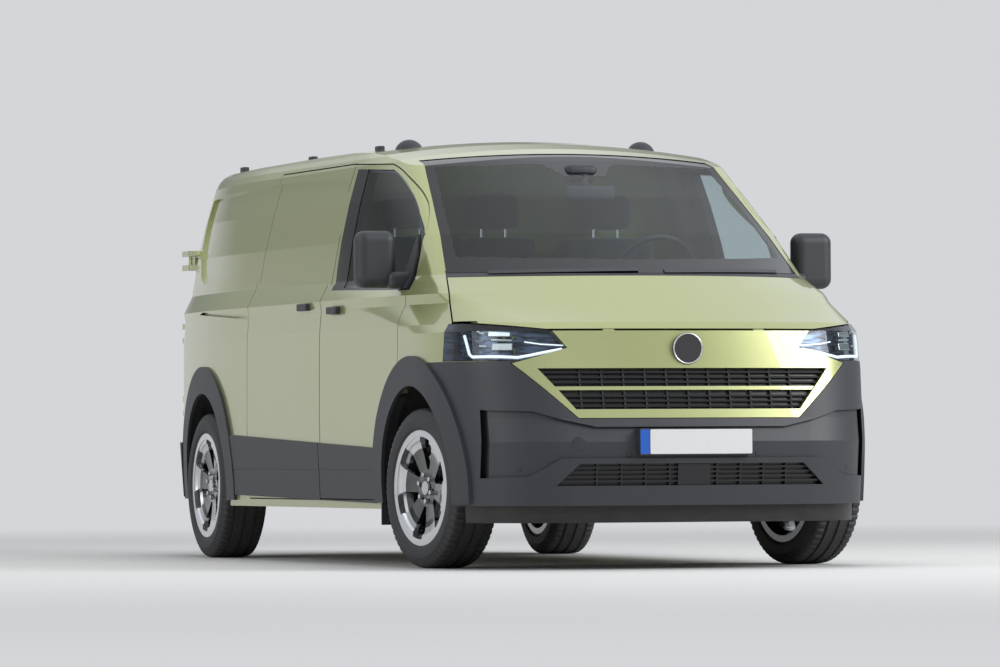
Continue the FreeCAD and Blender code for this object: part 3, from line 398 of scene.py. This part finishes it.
turns = pitches * steps
across, radius = (np.array(column) for column in zip(*section))
shoulder = (np.abs(across) > shoulder_start) & (radius > shoulder_foot)
ribs = np.abs(np.abs(across) - rib_middle) < 0.001
points = np.zeros((turns, len(section), 3))
for turn in range(turns):
    cut = radius.copy()
    if turn % steps < 2:
        cut[shoulder] -= shoulder_cut
    if turn % steps == 3:
        cut[ribs] -= slit_depth
    angle = 2 * math.pi * turn / turns
    points[turn, :, 0] = across
    points[turn, :, 1] = cut * math.cos(angle)
    points[turn, :, 2] = cut * math.sin(angle)
row = len(section)
faces = []
for turn in range(turns):
    after = (turn + 1) % turns
    for step in range(row):
        side = (step + 1) % row
        faces.append((turn * row + step, after * row + step, after * row + side,
                      turn * row + side))
tread = bpy.data.meshes.new("tyre_tread")
tread.from_pydata([tuple(p) for p in points.reshape(-1, 3)], [], faces)
tread.update()
tread.materials.append(rubber)
for polygon in tread.polygons:
    polygon.use_smooth = True
tread.set_sharp_from_angle(angle=math.radians(32))
wheels = {}
for name in ("front_left", "front_right", "rear_left", "rear_right"):
    joint = next(j for j in frame["joints"] if j["name"] == f"wheel_{name}_spin")
    centre = Vector(joint["pos_m"])
    outward = Vector(joint["axis"]).normalized()
    if name.endswith("right"):
        outward = -outward
    wheels[name] = (centre, outward)
    tyre = new_object(f"tyre_{name}_tread", tread.copy())
    tyre.matrix_world = (Matrix.Translation(centre)
                         @ outward.to_track_quat("X", "Z").to_matrix().to_4x4())
    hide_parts(f"tyre_{name}")
    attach(tyre, f"wheel_{name}")

# Rims. Gloss black cast wheels with machined silver faces round the outer ring, six bright
# bolts, a bare centre cap and a brake disc behind.


def softened(piece, width, segments):
    """Round a piece's edges with a bevel."""
    soften = piece.modifiers.new("soften", "BEVEL")
    soften.width = width
    soften.segments = segments
    return soften


def joined(pieces, name, material):
    """Join objects into one piece with one material."""
    bpy.ops.object.select_all(action="DESELECT")
    for piece in pieces:
        piece.select_set(True)
    bpy.context.view_layer.objects.active = pieces[0]
    bpy.ops.object.join()
    whole = bpy.context.object
    whole.name = name
    whole.data.materials.clear()
    whole.data.materials.append(material)
    return whole


bright = shaded("bright_steel", {"Base Color": (0.62, 0.62, 0.63, 1), "Metallic": 1.0,
                                 "Roughness": 0.25})[0]
machined_from, machined_depth = 0.178, 0.066
bolt_circle, bolt_depth = 0.060, 0.080
for name, (centre, outward) in wheels.items():
    finish, tree, surface = shaded(f"rim_{name}", {"Coat Weight": 1.0})
    where = tree.nodes.new("ShaderNodeTexCoord")
    arm = tree.nodes.new("ShaderNodeVectorMath")
    arm.operation = "SUBTRACT"
    arm.inputs[1].default_value = centre
    turn = tree.nodes.new("ShaderNodeVectorMath")
    turn.operation = "CROSS_PRODUCT"
    turn.inputs[1].default_value = outward
    length = tree.nodes.new("ShaderNodeVectorMath")
    length.operation = "LENGTH"
    far = tree.nodes.new("ShaderNodeMath")
    far.operation = "GREATER_THAN"
    far.inputs[1].default_value = machined_from
    tree.links.new(where.outputs["Object"], arm.inputs[0])
    tree.links.new(arm.outputs["Vector"], turn.inputs[0])
    tree.links.new(turn.outputs["Vector"], length.inputs[0])
    tree.links.new(length.outputs["Value"], far.inputs[0])
    depth = tree.nodes.new("ShaderNodeVectorMath")
    depth.operation = "DOT_PRODUCT"
    depth.inputs[1].default_value = outward
    out = tree.nodes.new("ShaderNodeMath")
    out.operation = "GREATER_THAN"
    out.inputs[1].default_value = machined_depth
    tree.links.new(arm.outputs["Vector"], depth.inputs[0])
    tree.links.new(depth.outputs["Value"], out.inputs[0])
    both = combined(tree, "MULTIPLY", [far.outputs[0], out.outputs[0]])
    tone = tree.nodes.new("ShaderNodeMix")
    tone.data_type = "RGBA"
    tone.inputs["A"].default_value = (0.010, 0.010, 0.012, 1)
    tone.inputs["B"].default_value = (0.66, 0.67, 0.69, 1)
    tree.links.new(both, tone.inputs["Factor"])
    tree.links.new(tone.outputs["Result"], surface.inputs["Base Color"])
    for label, cast_value, machined_value in (("Metallic", 0.0, 0.9), ("Roughness", 0.12, 0.30)):
        change = tree.nodes.new("ShaderNodeMapRange")
        change.inputs["To Min"].default_value = cast_value
        change.inputs["To Max"].default_value = machined_value
        tree.links.new(both, change.inputs["Value"])
        tree.links.new(change.outputs["Result"], surface.inputs[label])
    dress((f"rim_{name}",), finish)
    facing = (Matrix.Translation(centre)
              @ outward.to_track_quat("Z", "Y").to_matrix().to_4x4())
    fixings = []
    for number in range(6):
        angle = math.radians(60 * number + 40)
        bpy.ops.mesh.primitive_cylinder_add(vertices=6, radius=0.0115, depth=0.024)
        bolt = bpy.context.object
        bolt.matrix_world = facing @ Matrix.Translation(
            (bolt_circle * math.cos(angle), bolt_circle * math.sin(angle), bolt_depth))
        fixings.append(bolt)
    bpy.ops.mesh.primitive_cylinder_add(vertices=64, radius=0.031, depth=0.012)
    cap = bpy.context.object
    cap.matrix_world = facing @ Matrix.Translation((0, 0, bolt_depth))
    bolts = joined([*fixings, cap], f"wheel_bolts_{name}", bright)
    softened(bolts, 0.0015, 2)
    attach(bolts, f"wheel_{name}")
    bpy.ops.mesh.primitive_cylinder_add(vertices=96, radius=0.158, depth=0.026)
    disc = bpy.context.object
    disc.name = f"brake_disc_{name}"
    disc.matrix_world = facing @ Matrix.Translation((0, 0, 0.012))
    disc.data.materials.append(bright)
    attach(disc, f"wheel_{name}")

# Seats. Three seats with foam cushions, backs and head rests in dark woven cloth: crowned,
# with side bolsters, sewn channels and piping, on black bases. Head rests stand on bright stems.
cloth, tree, surface = shaded("seat_cloth", {"Roughness": 0.9, "Sheen Weight": 0.3})
weave = patterned(tree, surface, "Voronoi", 480, (0.018, 0.019, 0.022), (0.034, 0.036, 0.041),
                  held=True)
grained(tree, surface, weave, 0.2, 0.001)

puff_limit = 0.007
crown_rise, channel_depth, channel_width = 0.010, 0.009, 0.007
pads = {}
for kind, size, corner, face, channels, voxel in (
        ("cushion", (0.44, 0.49, 0.145), 0.040, "Z",
         (("X", -0.135), ("X", 0.135), ("Y", 0.02)), 0.012),
        ("back", (0.44, 0.105, 0.67), 0.040, "Y",
         (("X", -0.130), ("X", 0.130), ("Z", -0.06), ("Z", 0.16)), 0.012),
        ("headrest", (0.245, 0.085, 0.165), 0.036, "Y", (), 0.007)):
    bpy.ops.mesh.primitive_cube_add(size=1)
    pad = bpy.context.object
    pad.name = f"seat_{kind}"
    pad.scale = size
    bpy.ops.object.transform_apply(location=False, rotation=False, scale=True)
    soften = softened(pad, corner, 5)
    remesh = pad.modifiers.new("remesh", "REMESH")
    remesh.mode = "VOXEL"
    remesh.voxel_size = voxel
    bpy.ops.object.modifier_apply(modifier=soften.name)
    bpy.ops.object.modifier_apply(modifier=remesh.name)
    start = np.array([v.co[:] for v in pad.data.vertices])
    puff = pad.modifiers.new("puff", "CLOTH")
    puff.settings.use_pressure = True
    puff.settings.uniform_pressure_force = 4
    puff.settings.effector_weights.gravity = 0
    for step in range(1, 21):
        scene.frame_set(step)
    bpy.ops.object.modifier_apply(modifier=puff.name)
    scene.frame_set(1)
    puffed = np.array([v.co[:] for v in pad.data.vertices])
    shift = puffed - start
    far = np.linalg.norm(shift, axis=1, keepdims=True)
    spots = start + shift * np.minimum(1, puff_limit / np.maximum(far, 1e-9))
    depth = "XYZ".index(face)
    front = np.clip(np.abs(spots[:, depth]) / (size[depth] / 2), 0, 1) ** 2
    sign = np.sign(spots[:, depth])
    bolster = np.clip((np.abs(spots[:, 0]) - size[0] * 0.33) / (size[0] * 0.17), 0, 1)
    spots[:, depth] += sign * front * crown_rise * np.sin(bolster * math.pi) * (kind != "headrest")
    for axis, line in channels:
        near = np.exp(-((spots[:, "XYZ".index(axis)] - line) / channel_width) ** 2)
        spots[:, depth] -= sign * front * near * channel_depth
    for vertex, spot in zip(pad.data.vertices, spots):
        vertex.co = spot
    for polygon in pad.data.polygons:
        polygon.use_smooth = True
    pad.data.materials.append(cloth)
    pads[kind] = pad


def round_corners(half_x, half_y, turn, inset=0):
    """The outline of a flat rectangle with round corners, seven points to a corner."""
    outline = []
    for corner_x, corner_y, first in ((1, 1, 0), (-1, 1, 90), (-1, -1, 180), (1, -1, 270)):
        for step in range(7):
            angle = math.radians(first + 15 * step)
            outline.append((corner_x * (half_x - turn) + (turn - inset) * math.cos(angle),
                            corner_y * (half_y - turn) + (turn - inset) * math.sin(angle)))
    return outline


seat_front = -0.860
back_y = seat_front + 0.490
for label, across, width in (("left", 0.395, 0.500), ("middle", -0.165, 0.440),
                             ("right", -0.592, 0.390)):
    for kind, spot in (("cushion", (across, seat_front + 0.250, 0.840)),
                       ("back", (across, back_y, 1.200)),
                       ("headrest", (across, back_y, 1.650))):
        pad = new_object(f"seat_{kind}_{label}", pads[kind].data.copy())
        stretch = 1 if kind == "headrest" else (width - 0.02) / 0.44
        pad.matrix_world = Matrix.Translation(spot) @ Matrix.Diagonal((stretch, 1, 1, 1))
        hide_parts("seats")
        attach(pad, "body")
    piping = bpy.data.curves.new("piping", "CURVE")
    piping.dimensions = "3D"
    for high in (0.905, 0.778):
        outline = round_corners(width / 2 - 0.018, 0.236, 0.05)
        spline = piping.splines.new("POLY")
        spline.points.add(len(outline) - 1)
        for point, (x, y) in zip(spline.points, outline):
            point.co = (across + x, seat_front + 0.250 + y, high, 1)
        spline.use_cyclic_u = True
    piping.bevel_depth = 0.003
    piping.materials.append(cloth)
    seam = new_object(f"seat_piping_{label}", piping)
    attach(seam, "body")
    bpy.ops.mesh.primitive_cube_add(size=1)
    base = bpy.context.object
    base.name = f"seat_base_{label}"
    base.matrix_world = (Matrix.Translation((across, seat_front + 0.230, 0.640))
                         @ Matrix.Diagonal((width - 0.08, 0.380, 0.248, 1)))
    base.data.materials.append(plastic)
    softened(base, 0.012, 3)
    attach(base, "body")
    stems = []
    for shift in (-0.060, 0.060):
        bpy.ops.mesh.primitive_cylinder_add(vertices=20, radius=0.007, depth=0.12,
                                            location=(across + shift, back_y, 1.555))
        stems.append(bpy.context.object)
    posts = joined(stems, f"seat_stems_{label}", bright)
    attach(posts, "body")
for pad in pads.values():
    bpy.data.objects.remove(pad)

# Front disc. A bare glossy black disc in the middle of the nose, with a bright steel ring round
# it, 140 mm across.
face = shaded("disc_face", {"Base Color": (0.010, 0.010, 0.012, 1), "Roughness": 0.18,
                            "Coat Weight": 1.0})[0]
dress(("front_disc",), face)
low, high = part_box("front_disc")
bpy.ops.mesh.primitive_torus_add(major_segments=96, minor_segments=12, major_radius=0.066,
                                 minor_radius=0.0035)
ring = bpy.context.object
ring.name = "disc_ring"
ring.matrix_world = (Matrix.Translation((0, low.y + 0.001, (low.z + high.z) / 2))
                     @ Matrix.Rotation(math.radians(90), 4, "X"))
ring.data.materials.append(bright)
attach(ring, "body")

# Number plates. Blank white pressed sheets 520 by 108 mm with a plain blue end, on the front
# bumper's holder and on a black holder on the left rear door.
white, tree, surface = shaded("plate_white", {"Roughness": 0.30})
patterned(tree, surface, "Noise", 40, (0.74, 0.74, 0.75), (0.82, 0.82, 0.82))
blue = white.copy()
blue.name = "plate_blue"
marks = blue.node_tree.nodes["Color Ramp"].color_ramp.elements
marks[0].color = (0.015, 0.10, 0.50, 1)
marks[1].color = (0.022, 0.13, 0.58, 1)


def banded(shape, rings):
    """Close the bands between rings of vertices."""
    for before, after in zip(rings, rings[1:]):
        for step in range(len(before)):
            other = (step + 1) % len(before)
            shape.faces.new((before[step], before[other], after[other], after[step]))


def finished(name, shape, material):
    """Turn a bmesh into a piece of the scene with one material."""
    mesh = bpy.data.meshes.new(name)
    shape.to_mesh(mesh)
    shape.free()
    mesh.materials.append(material)
    return new_object(name, mesh)


def laid(spot, outward):
    """The matrix that lays a flat piece face out at a spot."""
    return Matrix.Translation(spot) @ outward.to_track_quat("Z", "Y").to_matrix().to_4x4()


def rounded_panel(name, width, height, turn, thick, material, spot, outward):
    """A flat sheet with round corners and a softened edge, laid face out at a spot."""
    edge = min(0.0008, thick / 3)
    shape = bmesh.new()
    rings = [[shape.verts.new((x, y, rise))
              for x, y in round_corners(width / 2, height / 2, turn, inset)]
             for inset, rise in ((0, 0), (0, thick - edge), (edge, thick))]
    banded(shape, rings)
    shape.faces.new(rings[-1])
    shape.faces.new(rings[0][::-1])
    panel = finished(name, shape, material)
    panel.matrix_world = laid(spot, outward)
    return panel


seat_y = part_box("front_bumper")[0].y
holder_thick, plate_thick, proud = 0.0026, 0.0018, 0.0004
backward = Vector((0, -1, 0))
door_at, door_face = nodes["rear_door_left"].ray_cast(Vector((0.38, 4, 0.86)), backward)[1:3]
holder = rounded_panel("rear_plate_holder", 0.532, 0.126, 0.010, holder_thick, plastic, door_at,
                       door_face)
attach(holder, "rear_door_left")
for place, spot, face, body in (
        ("front", Vector((0, seat_y + plate_thick - proud, 0.559)), backward, "body"),
        ("rear", door_at + door_face * holder_thick, door_face, "rear_door_left")):
    along = face.to_track_quat("Z", "Y") @ Vector((1, 0, 0))
    for name, width, shift, material in ((f"plate_blank_{place}", 0.474, 0.022, white),
                                         (f"plate_end_{place}", 0.044, -0.239, blue)):
        sheet = rounded_panel(name, width, 0.108, 0.006, plate_thick, material,
                              spot + along * shift, face)
        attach(sheet, body)

# Bumper fittings. A round cover over the towing eye and four small parking sensors, pressed
# into the bumper's band and each ringed by a fine gap.
for label, across, high, radius in (("towing_cover", -0.522, 0.551, 0.032),
                                    ("sensor_far_right", -0.765, 0.443, 0.012),
                                    ("sensor_right", -0.300, 0.505, 0.012),
                                    ("sensor_left", 0.300, 0.505, 0.012),
                                    ("sensor_far_left", 0.765, 0.443, 0.012)):
    found, seat, normal, _ = nodes["front_bumper"].ray_cast(Vector((across, -4, high)),
                                                            Vector((0, 1, 0)))
    if not found:
        continue
    shape = bmesh.new()
    rings = []
    for share, rise in ((1.0, -0.0010), (1.0, 0.0004), (0.93, 0.0012), (0.90, 0.0012),
                        (0.86, 0.0002), (0.82, 0.0012), (0.5, 0.0014)):
        rings.append([shape.verts.new((radius * share * math.cos(2 * math.pi * step / 40),
                                       radius * share * math.sin(2 * math.pi * step / 40), rise))
                      for step in range(40)])
    banded(shape, rings)
    shape.faces.new(rings[-1])
    stud = finished(label, shape, plastic)
    stud.matrix_world = laid(seat, normal)
    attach(stud, "body")

# Door mirrors. A silvered pane with round corners sits in the back of each mirror head and
# moves with its door.
silver = shaded("mirror_silver", {"Base Color": (0.78, 0.80, 0.84, 1), "Metallic": 1.0,
                                  "Roughness": 0.03})[0]
for side, sign in (("left", 1), ("right", -1)):
    head = [v.co for v in nodes[f"front_door_trim_{side}"].data.vertices
            if sign * v.co.x > 1.05 and v.co.z > 1.2]
    back, out = max(v.y for v in head), max(sign * v.x for v in head)
    low, high = min(v.z for v in head), max(v.z for v in head)
    pane = rounded_panel(f"mirror_glass_{side}", 0.124, high - low - 0.060, 0.030, 0.0022, silver,
                         Vector((sign * (out - 0.093), back - 0.0015, (low + high) / 2)),
                         Vector((0, 1, 0)))
    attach(pane, f"front_door_{side}")

# Inner mirror and sensor housing. A soft black box sits against the top of the windscreen,
# with the inner mirror on a short stalk below it.
for label, size, high, inward, round_edge in (
        ("sensor_housing", (0.150, 0.070, 0.085), 1.795, 0.048, 0.024),
        ("inner_mirror", (0.235, 0.028, 0.066), 1.700, 0.110, 0.013),
        ("mirror_stalk", (0.030, 0.030, 0.080), 1.750, 0.080, 0.010)):
    seat = nodes["windscreen"].ray_cast(Vector((0, -4, high)), Vector((0, 1, 0)))[1]
    bpy.ops.mesh.primitive_cube_add(size=1)
    box = bpy.context.object
    box.name = label
    box.scale = size
    bpy.ops.object.transform_apply(location=False, rotation=False, scale=True)
    box.location = (0, seat.y + inward, high)
    box.data.materials.append(plastic)
    softened(box, round_edge, 5)
    for polygon in box.data.polygons:
        polygon.use_smooth = True
    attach(box, "body")

# Brake calipers. A casting in grey paint bridges the back of each disc. The front ones turn with
# the steering.
cast = shaded("caliper_paint", {"Base Color": (0.10, 0.10, 0.105, 1), "Metallic": 0.6,
                                "Roughness": 0.5})[0]
for name, (centre, outward) in wheels.items():
    shape = bmesh.new()
    rings = []
    for spread, near, far, low_r, high_r in ((-24, -0.012, 0.030, 0.108, 0.166),
                                             (-20, -0.020, 0.040, 0.100, 0.172),
                                             (-7, -0.022, 0.042, 0.096, 0.176),
                                             (7, -0.022, 0.042, 0.096, 0.176),
                                             (20, -0.020, 0.040, 0.100, 0.172),
                                             (24, -0.012, 0.030, 0.108, 0.166)):
        angle = math.radians(spread)
        rings.append([shape.verts.new((depth, radius * math.cos(angle), radius * math.sin(angle)))
                      for depth, radius in ((near, low_r), (near, high_r), (far, high_r),
                                            (far, low_r))])
    banded(shape, rings)
    shape.faces.new(rings[0])
    shape.faces.new(rings[-1])
    bmesh.ops.recalc_face_normals(shape, faces=shape.faces)
    caliper = finished(f"caliper_{name}", shape, cast)
    across = 1 if outward.x > 0 else -1
    caliper.matrix_world = Matrix.Translation(centre) @ Matrix.Diagonal((across, 1, 1, 1))
    softened(caliper, 0.004, 3)
    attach(caliper, name.replace("front", "steer") if name.startswith("front") else "body")

# Top hinge feet. The body draws in above the belt, so a painted steel foot carries each leaf of
# the top rear hinge from the body's corner.
for label, sign in (("left", 1), ("right", -1)):
    shape = bmesh.new()
    for low, high in ((1.451, 1.478), (1.522, 1.549)):
        sole = [(0.786, 2.490), (0.803, 2.545), (0.850, 2.545), (0.850, 2.490), (0.838, 2.425),
                (0.812, 2.395)]
        lower = [shape.verts.new((sign * x, y, low)) for x, y in sole]
        upper = [shape.verts.new((sign * x, y, high)) for x, y in sole]
        shape.faces.new(lower)
        shape.faces.new(upper)
        banded(shape, [lower, upper])
    bmesh.ops.recalc_face_normals(shape, faces=shape.faces)
    feet = finished(f"hinge_feet_{label}", shape, paint)
    softened(feet, 0.004, 3)
    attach(feet, "body")

# Tail lamps. Red lenses wrap the rear corners, ribbed inside, with a clear reversing panel low
# down. A red stop lamp sits over the doors and two reflectors in the bumper.
red, tree, surface = shaded("lamp_red", {"Roughness": 0.10, "Coat Weight": 1.0})
where = tree.nodes.new("ShaderNodeTexCoord")
split = tree.nodes.new("ShaderNodeSeparateXYZ")
ribs = tree.nodes.new("ShaderNodeTexWave")
ribs.bands_direction = "Z"
ribs.inputs["Scale"].default_value = 14
low_part = tree.nodes.new("ShaderNodeMath")
low_part.operation = "LESS_THAN"
low_part.inputs[1].default_value = 0.985
mixed = tree.nodes.new("ShaderNodeMix")
mixed.data_type = "RGBA"
mixed.inputs["B"].default_value = (0.62, 0.60, 0.60, 1)
tree.links.new(where.outputs["Object"], split.inputs[0])
tree.links.new(where.outputs["Object"], ribs.inputs["Vector"])
tree.links.new(split.outputs["Z"], low_part.inputs[0])
tree.links.new(low_part.outputs[0], mixed.inputs["Factor"])
tree.links.new(toned(tree, ribs.outputs["Fac"], (0.0, (0.20, 0.004, 0.005)),
                     (1.0, (0.52, 0.014, 0.016))), mixed.inputs["A"])
tree.links.new(mixed.outputs["Result"], surface.inputs["Base Color"])
dress(("tail_lamps",), red)
for name, node, across, high, width, height in (
        ("stop_lamp", "roof", 0.0, 1.922, 0.260, 0.022),
        ("reflector_left", "rear_bumper", 0.700, 0.500, 0.150, 0.030),
        ("reflector_right", "rear_bumper", -0.700, 0.500, 0.150, 0.030)):
    spot, face = nodes[node].ray_cast(Vector((across, 4, high)), backward)[1:3]
    lens = rounded_panel(name, width, height, height * 0.45, 0.004, red, spot - face * 0.001,
                         face)
    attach(lens, "body")

# Rear door furniture. A flat black pull handle on a shallow plate beside the closing edge, and
# a flush lock below it.
at, face = nodes["rear_door_right"].ray_cast(Vector((-0.085, 4, 1.04)), backward)[1:3]
seat_thick = 0.002
seat = rounded_panel("rear_handle_plate", 0.060, 0.210, 0.022, seat_thick, plastic, at, face)
pull = rounded_panel("rear_handle_pull", 0.028, 0.170, 0.013, 0.0045, plastic,
                     at + face * seat_thick, face)
lock = rounded_panel("rear_lock", 0.022, 0.022, 0.0109, 0.003, bright,
                     at + Vector((0, 0, -0.135)), face)
for piece, slot in ((seat, "dark_plastic"), (pull, "dark_plastic"), (lock, "alloy")):
    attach(piece, "rear_door_right")

# Headlamps. A clear cover in the body's surface over a deep blue-black metal-coated housing. A
# white light line runs down the outer end and along the lower edge, two bright lens boxes have
# bars between and beside them, and a thin white line lies inboard.
cover = clear.copy()
cover.name = "lamp_cover"
housing, tree, surface = shaded("lamp_housing", {"Metallic": 0.85, "Roughness": 0.22})
patterned(tree, surface, "Noise", 14, (0.020, 0.026, 0.045), (0.10, 0.13, 0.20),
          places=(0.4, 0.6))
glowing = shaded("light_line", {"Base Color": (0.85, 0.88, 0.92, 1),
                                "Emission Color": (0.90, 0.94, 1.0, 1),
                                "Emission Strength": 0.8})[0]
lamp_parts = {}
for name, outer, material in (("lamp_cover", True, cover), ("lamp_housing", False, housing)):
    lamp = new_object(name, nodes["headlamps"].data.copy())
    shape = bmesh.new()
    shape.from_mesh(lamp.data)
    dropped = []
    for face in shape.faces:
        way = Vector((math.copysign(0.5, face.calc_center_median().x), -1, 0.1)).normalized()
        if (face.normal.dot(way) > 0.3) != outer:
            dropped.append(face)
    bmesh.ops.delete(shape, geom=dropped, context="FACES")
    shape.to_mesh(lamp.data)
    shape.free()
    lamp.data.materials.clear()
    lamp.data.materials.append(material)
    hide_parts("headlamps")
    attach(lamp, "body")
    lamp_parts[name] = lamp


def behind_cover(spot, side, depth):
    """The point a depth behind the lamp's cover, nearest to a spot on one side of the van."""
    _, near, normal, _ = lamp_parts["lamp_cover"].closest_point_on_mesh(
        Vector((spot[0] * side, spot[1], spot[2])))
    return near - normal * depth


for sign, label in ((1, "left"), (-1, "right")):
    for name, thick, depth, steps, path, material in (
            ("light_line", 0.0065, 0.010, 10,
             [(0.929, -2.261, 1.031), (0.920, -2.304, 0.948), (0.911, -2.322, 0.936),
              (0.754, -2.488, 0.932), (0.700, -2.510, 0.941), (0.562, -2.542, 0.968)], glowing),
            ("inner_line", 0.0030, 0.012, 8,
             [(0.722, -2.489, 1.001), (0.655, -2.515, 0.990), (0.555, -2.540, 0.985)], glowing),
            ("box_bar", 0.0045, 0.014, 6, [(0.846, -2.394, 1.011), (0.771, -2.459, 1.008)],
             bright),
            ("end_bar_upper", 0.0035, 0.014, 4, [(0.898, -2.33, 1.050), (0.868, -2.36, 1.049)],
             bright),
            ("end_bar_lower", 0.0035, 0.014, 4, [(0.893, -2.35, 0.985), (0.865, -2.38, 0.984)],
             bright)):
        spots = [Vector(start).lerp(Vector(stop), step / steps)
                 for start, stop in zip(path, path[1:]) for step in range(steps)]
        spots.append(Vector(path[-1]))
        curve = bpy.data.curves.new(name, "CURVE")
        curve.dimensions = "3D"
        spline = curve.splines.new("POLY")
        spline.points.add(len(spots) - 1)
        for point, spot in zip(spline.points, spots):
            point.co = (*behind_cover(spot, sign, depth), 1)
        curve.bevel_depth = thick
        curve.bevel_resolution = 3
        curve.use_fill_caps = True
        bar = new_object(f"{name}_{label}", curve)
        curve.materials.append(material)
        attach(bar, "body")
    for name, top_out, low_in in (("upper_lens", (0.851, -2.371, 1.056), (0.775, -2.451, 1.024)),
                                  ("lower_lens", (0.847, -2.401, 0.996), (0.772, -2.467, 0.964))):
        verts = []
        for depth in (0.010, 0.034):
            for x_share, z_share in ((0, 0), (1, 0), (1, 1), (0, 1)):
                spot = (top_out[0] + (low_in[0] - top_out[0]) * x_share,
                        top_out[1] + (low_in[1] - top_out[1]) * x_share,
                        top_out[2] + (low_in[2] - top_out[2]) * z_share)
                verts.append(behind_cover(spot, sign, depth))
        mesh = bpy.data.meshes.new(name)
        mesh.from_pydata(verts, [], [(0, 1, 2, 3), (7, 6, 5, 4), (0, 4, 5, 1), (1, 5, 6, 2),
                                     (2, 6, 7, 3), (3, 7, 4, 0)])
        mesh.materials.append(bright)
        lens_box = new_object(f"{name}_{label}", mesh)
        softened(lens_box, 0.003, 2)
        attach(lens_box, "body")
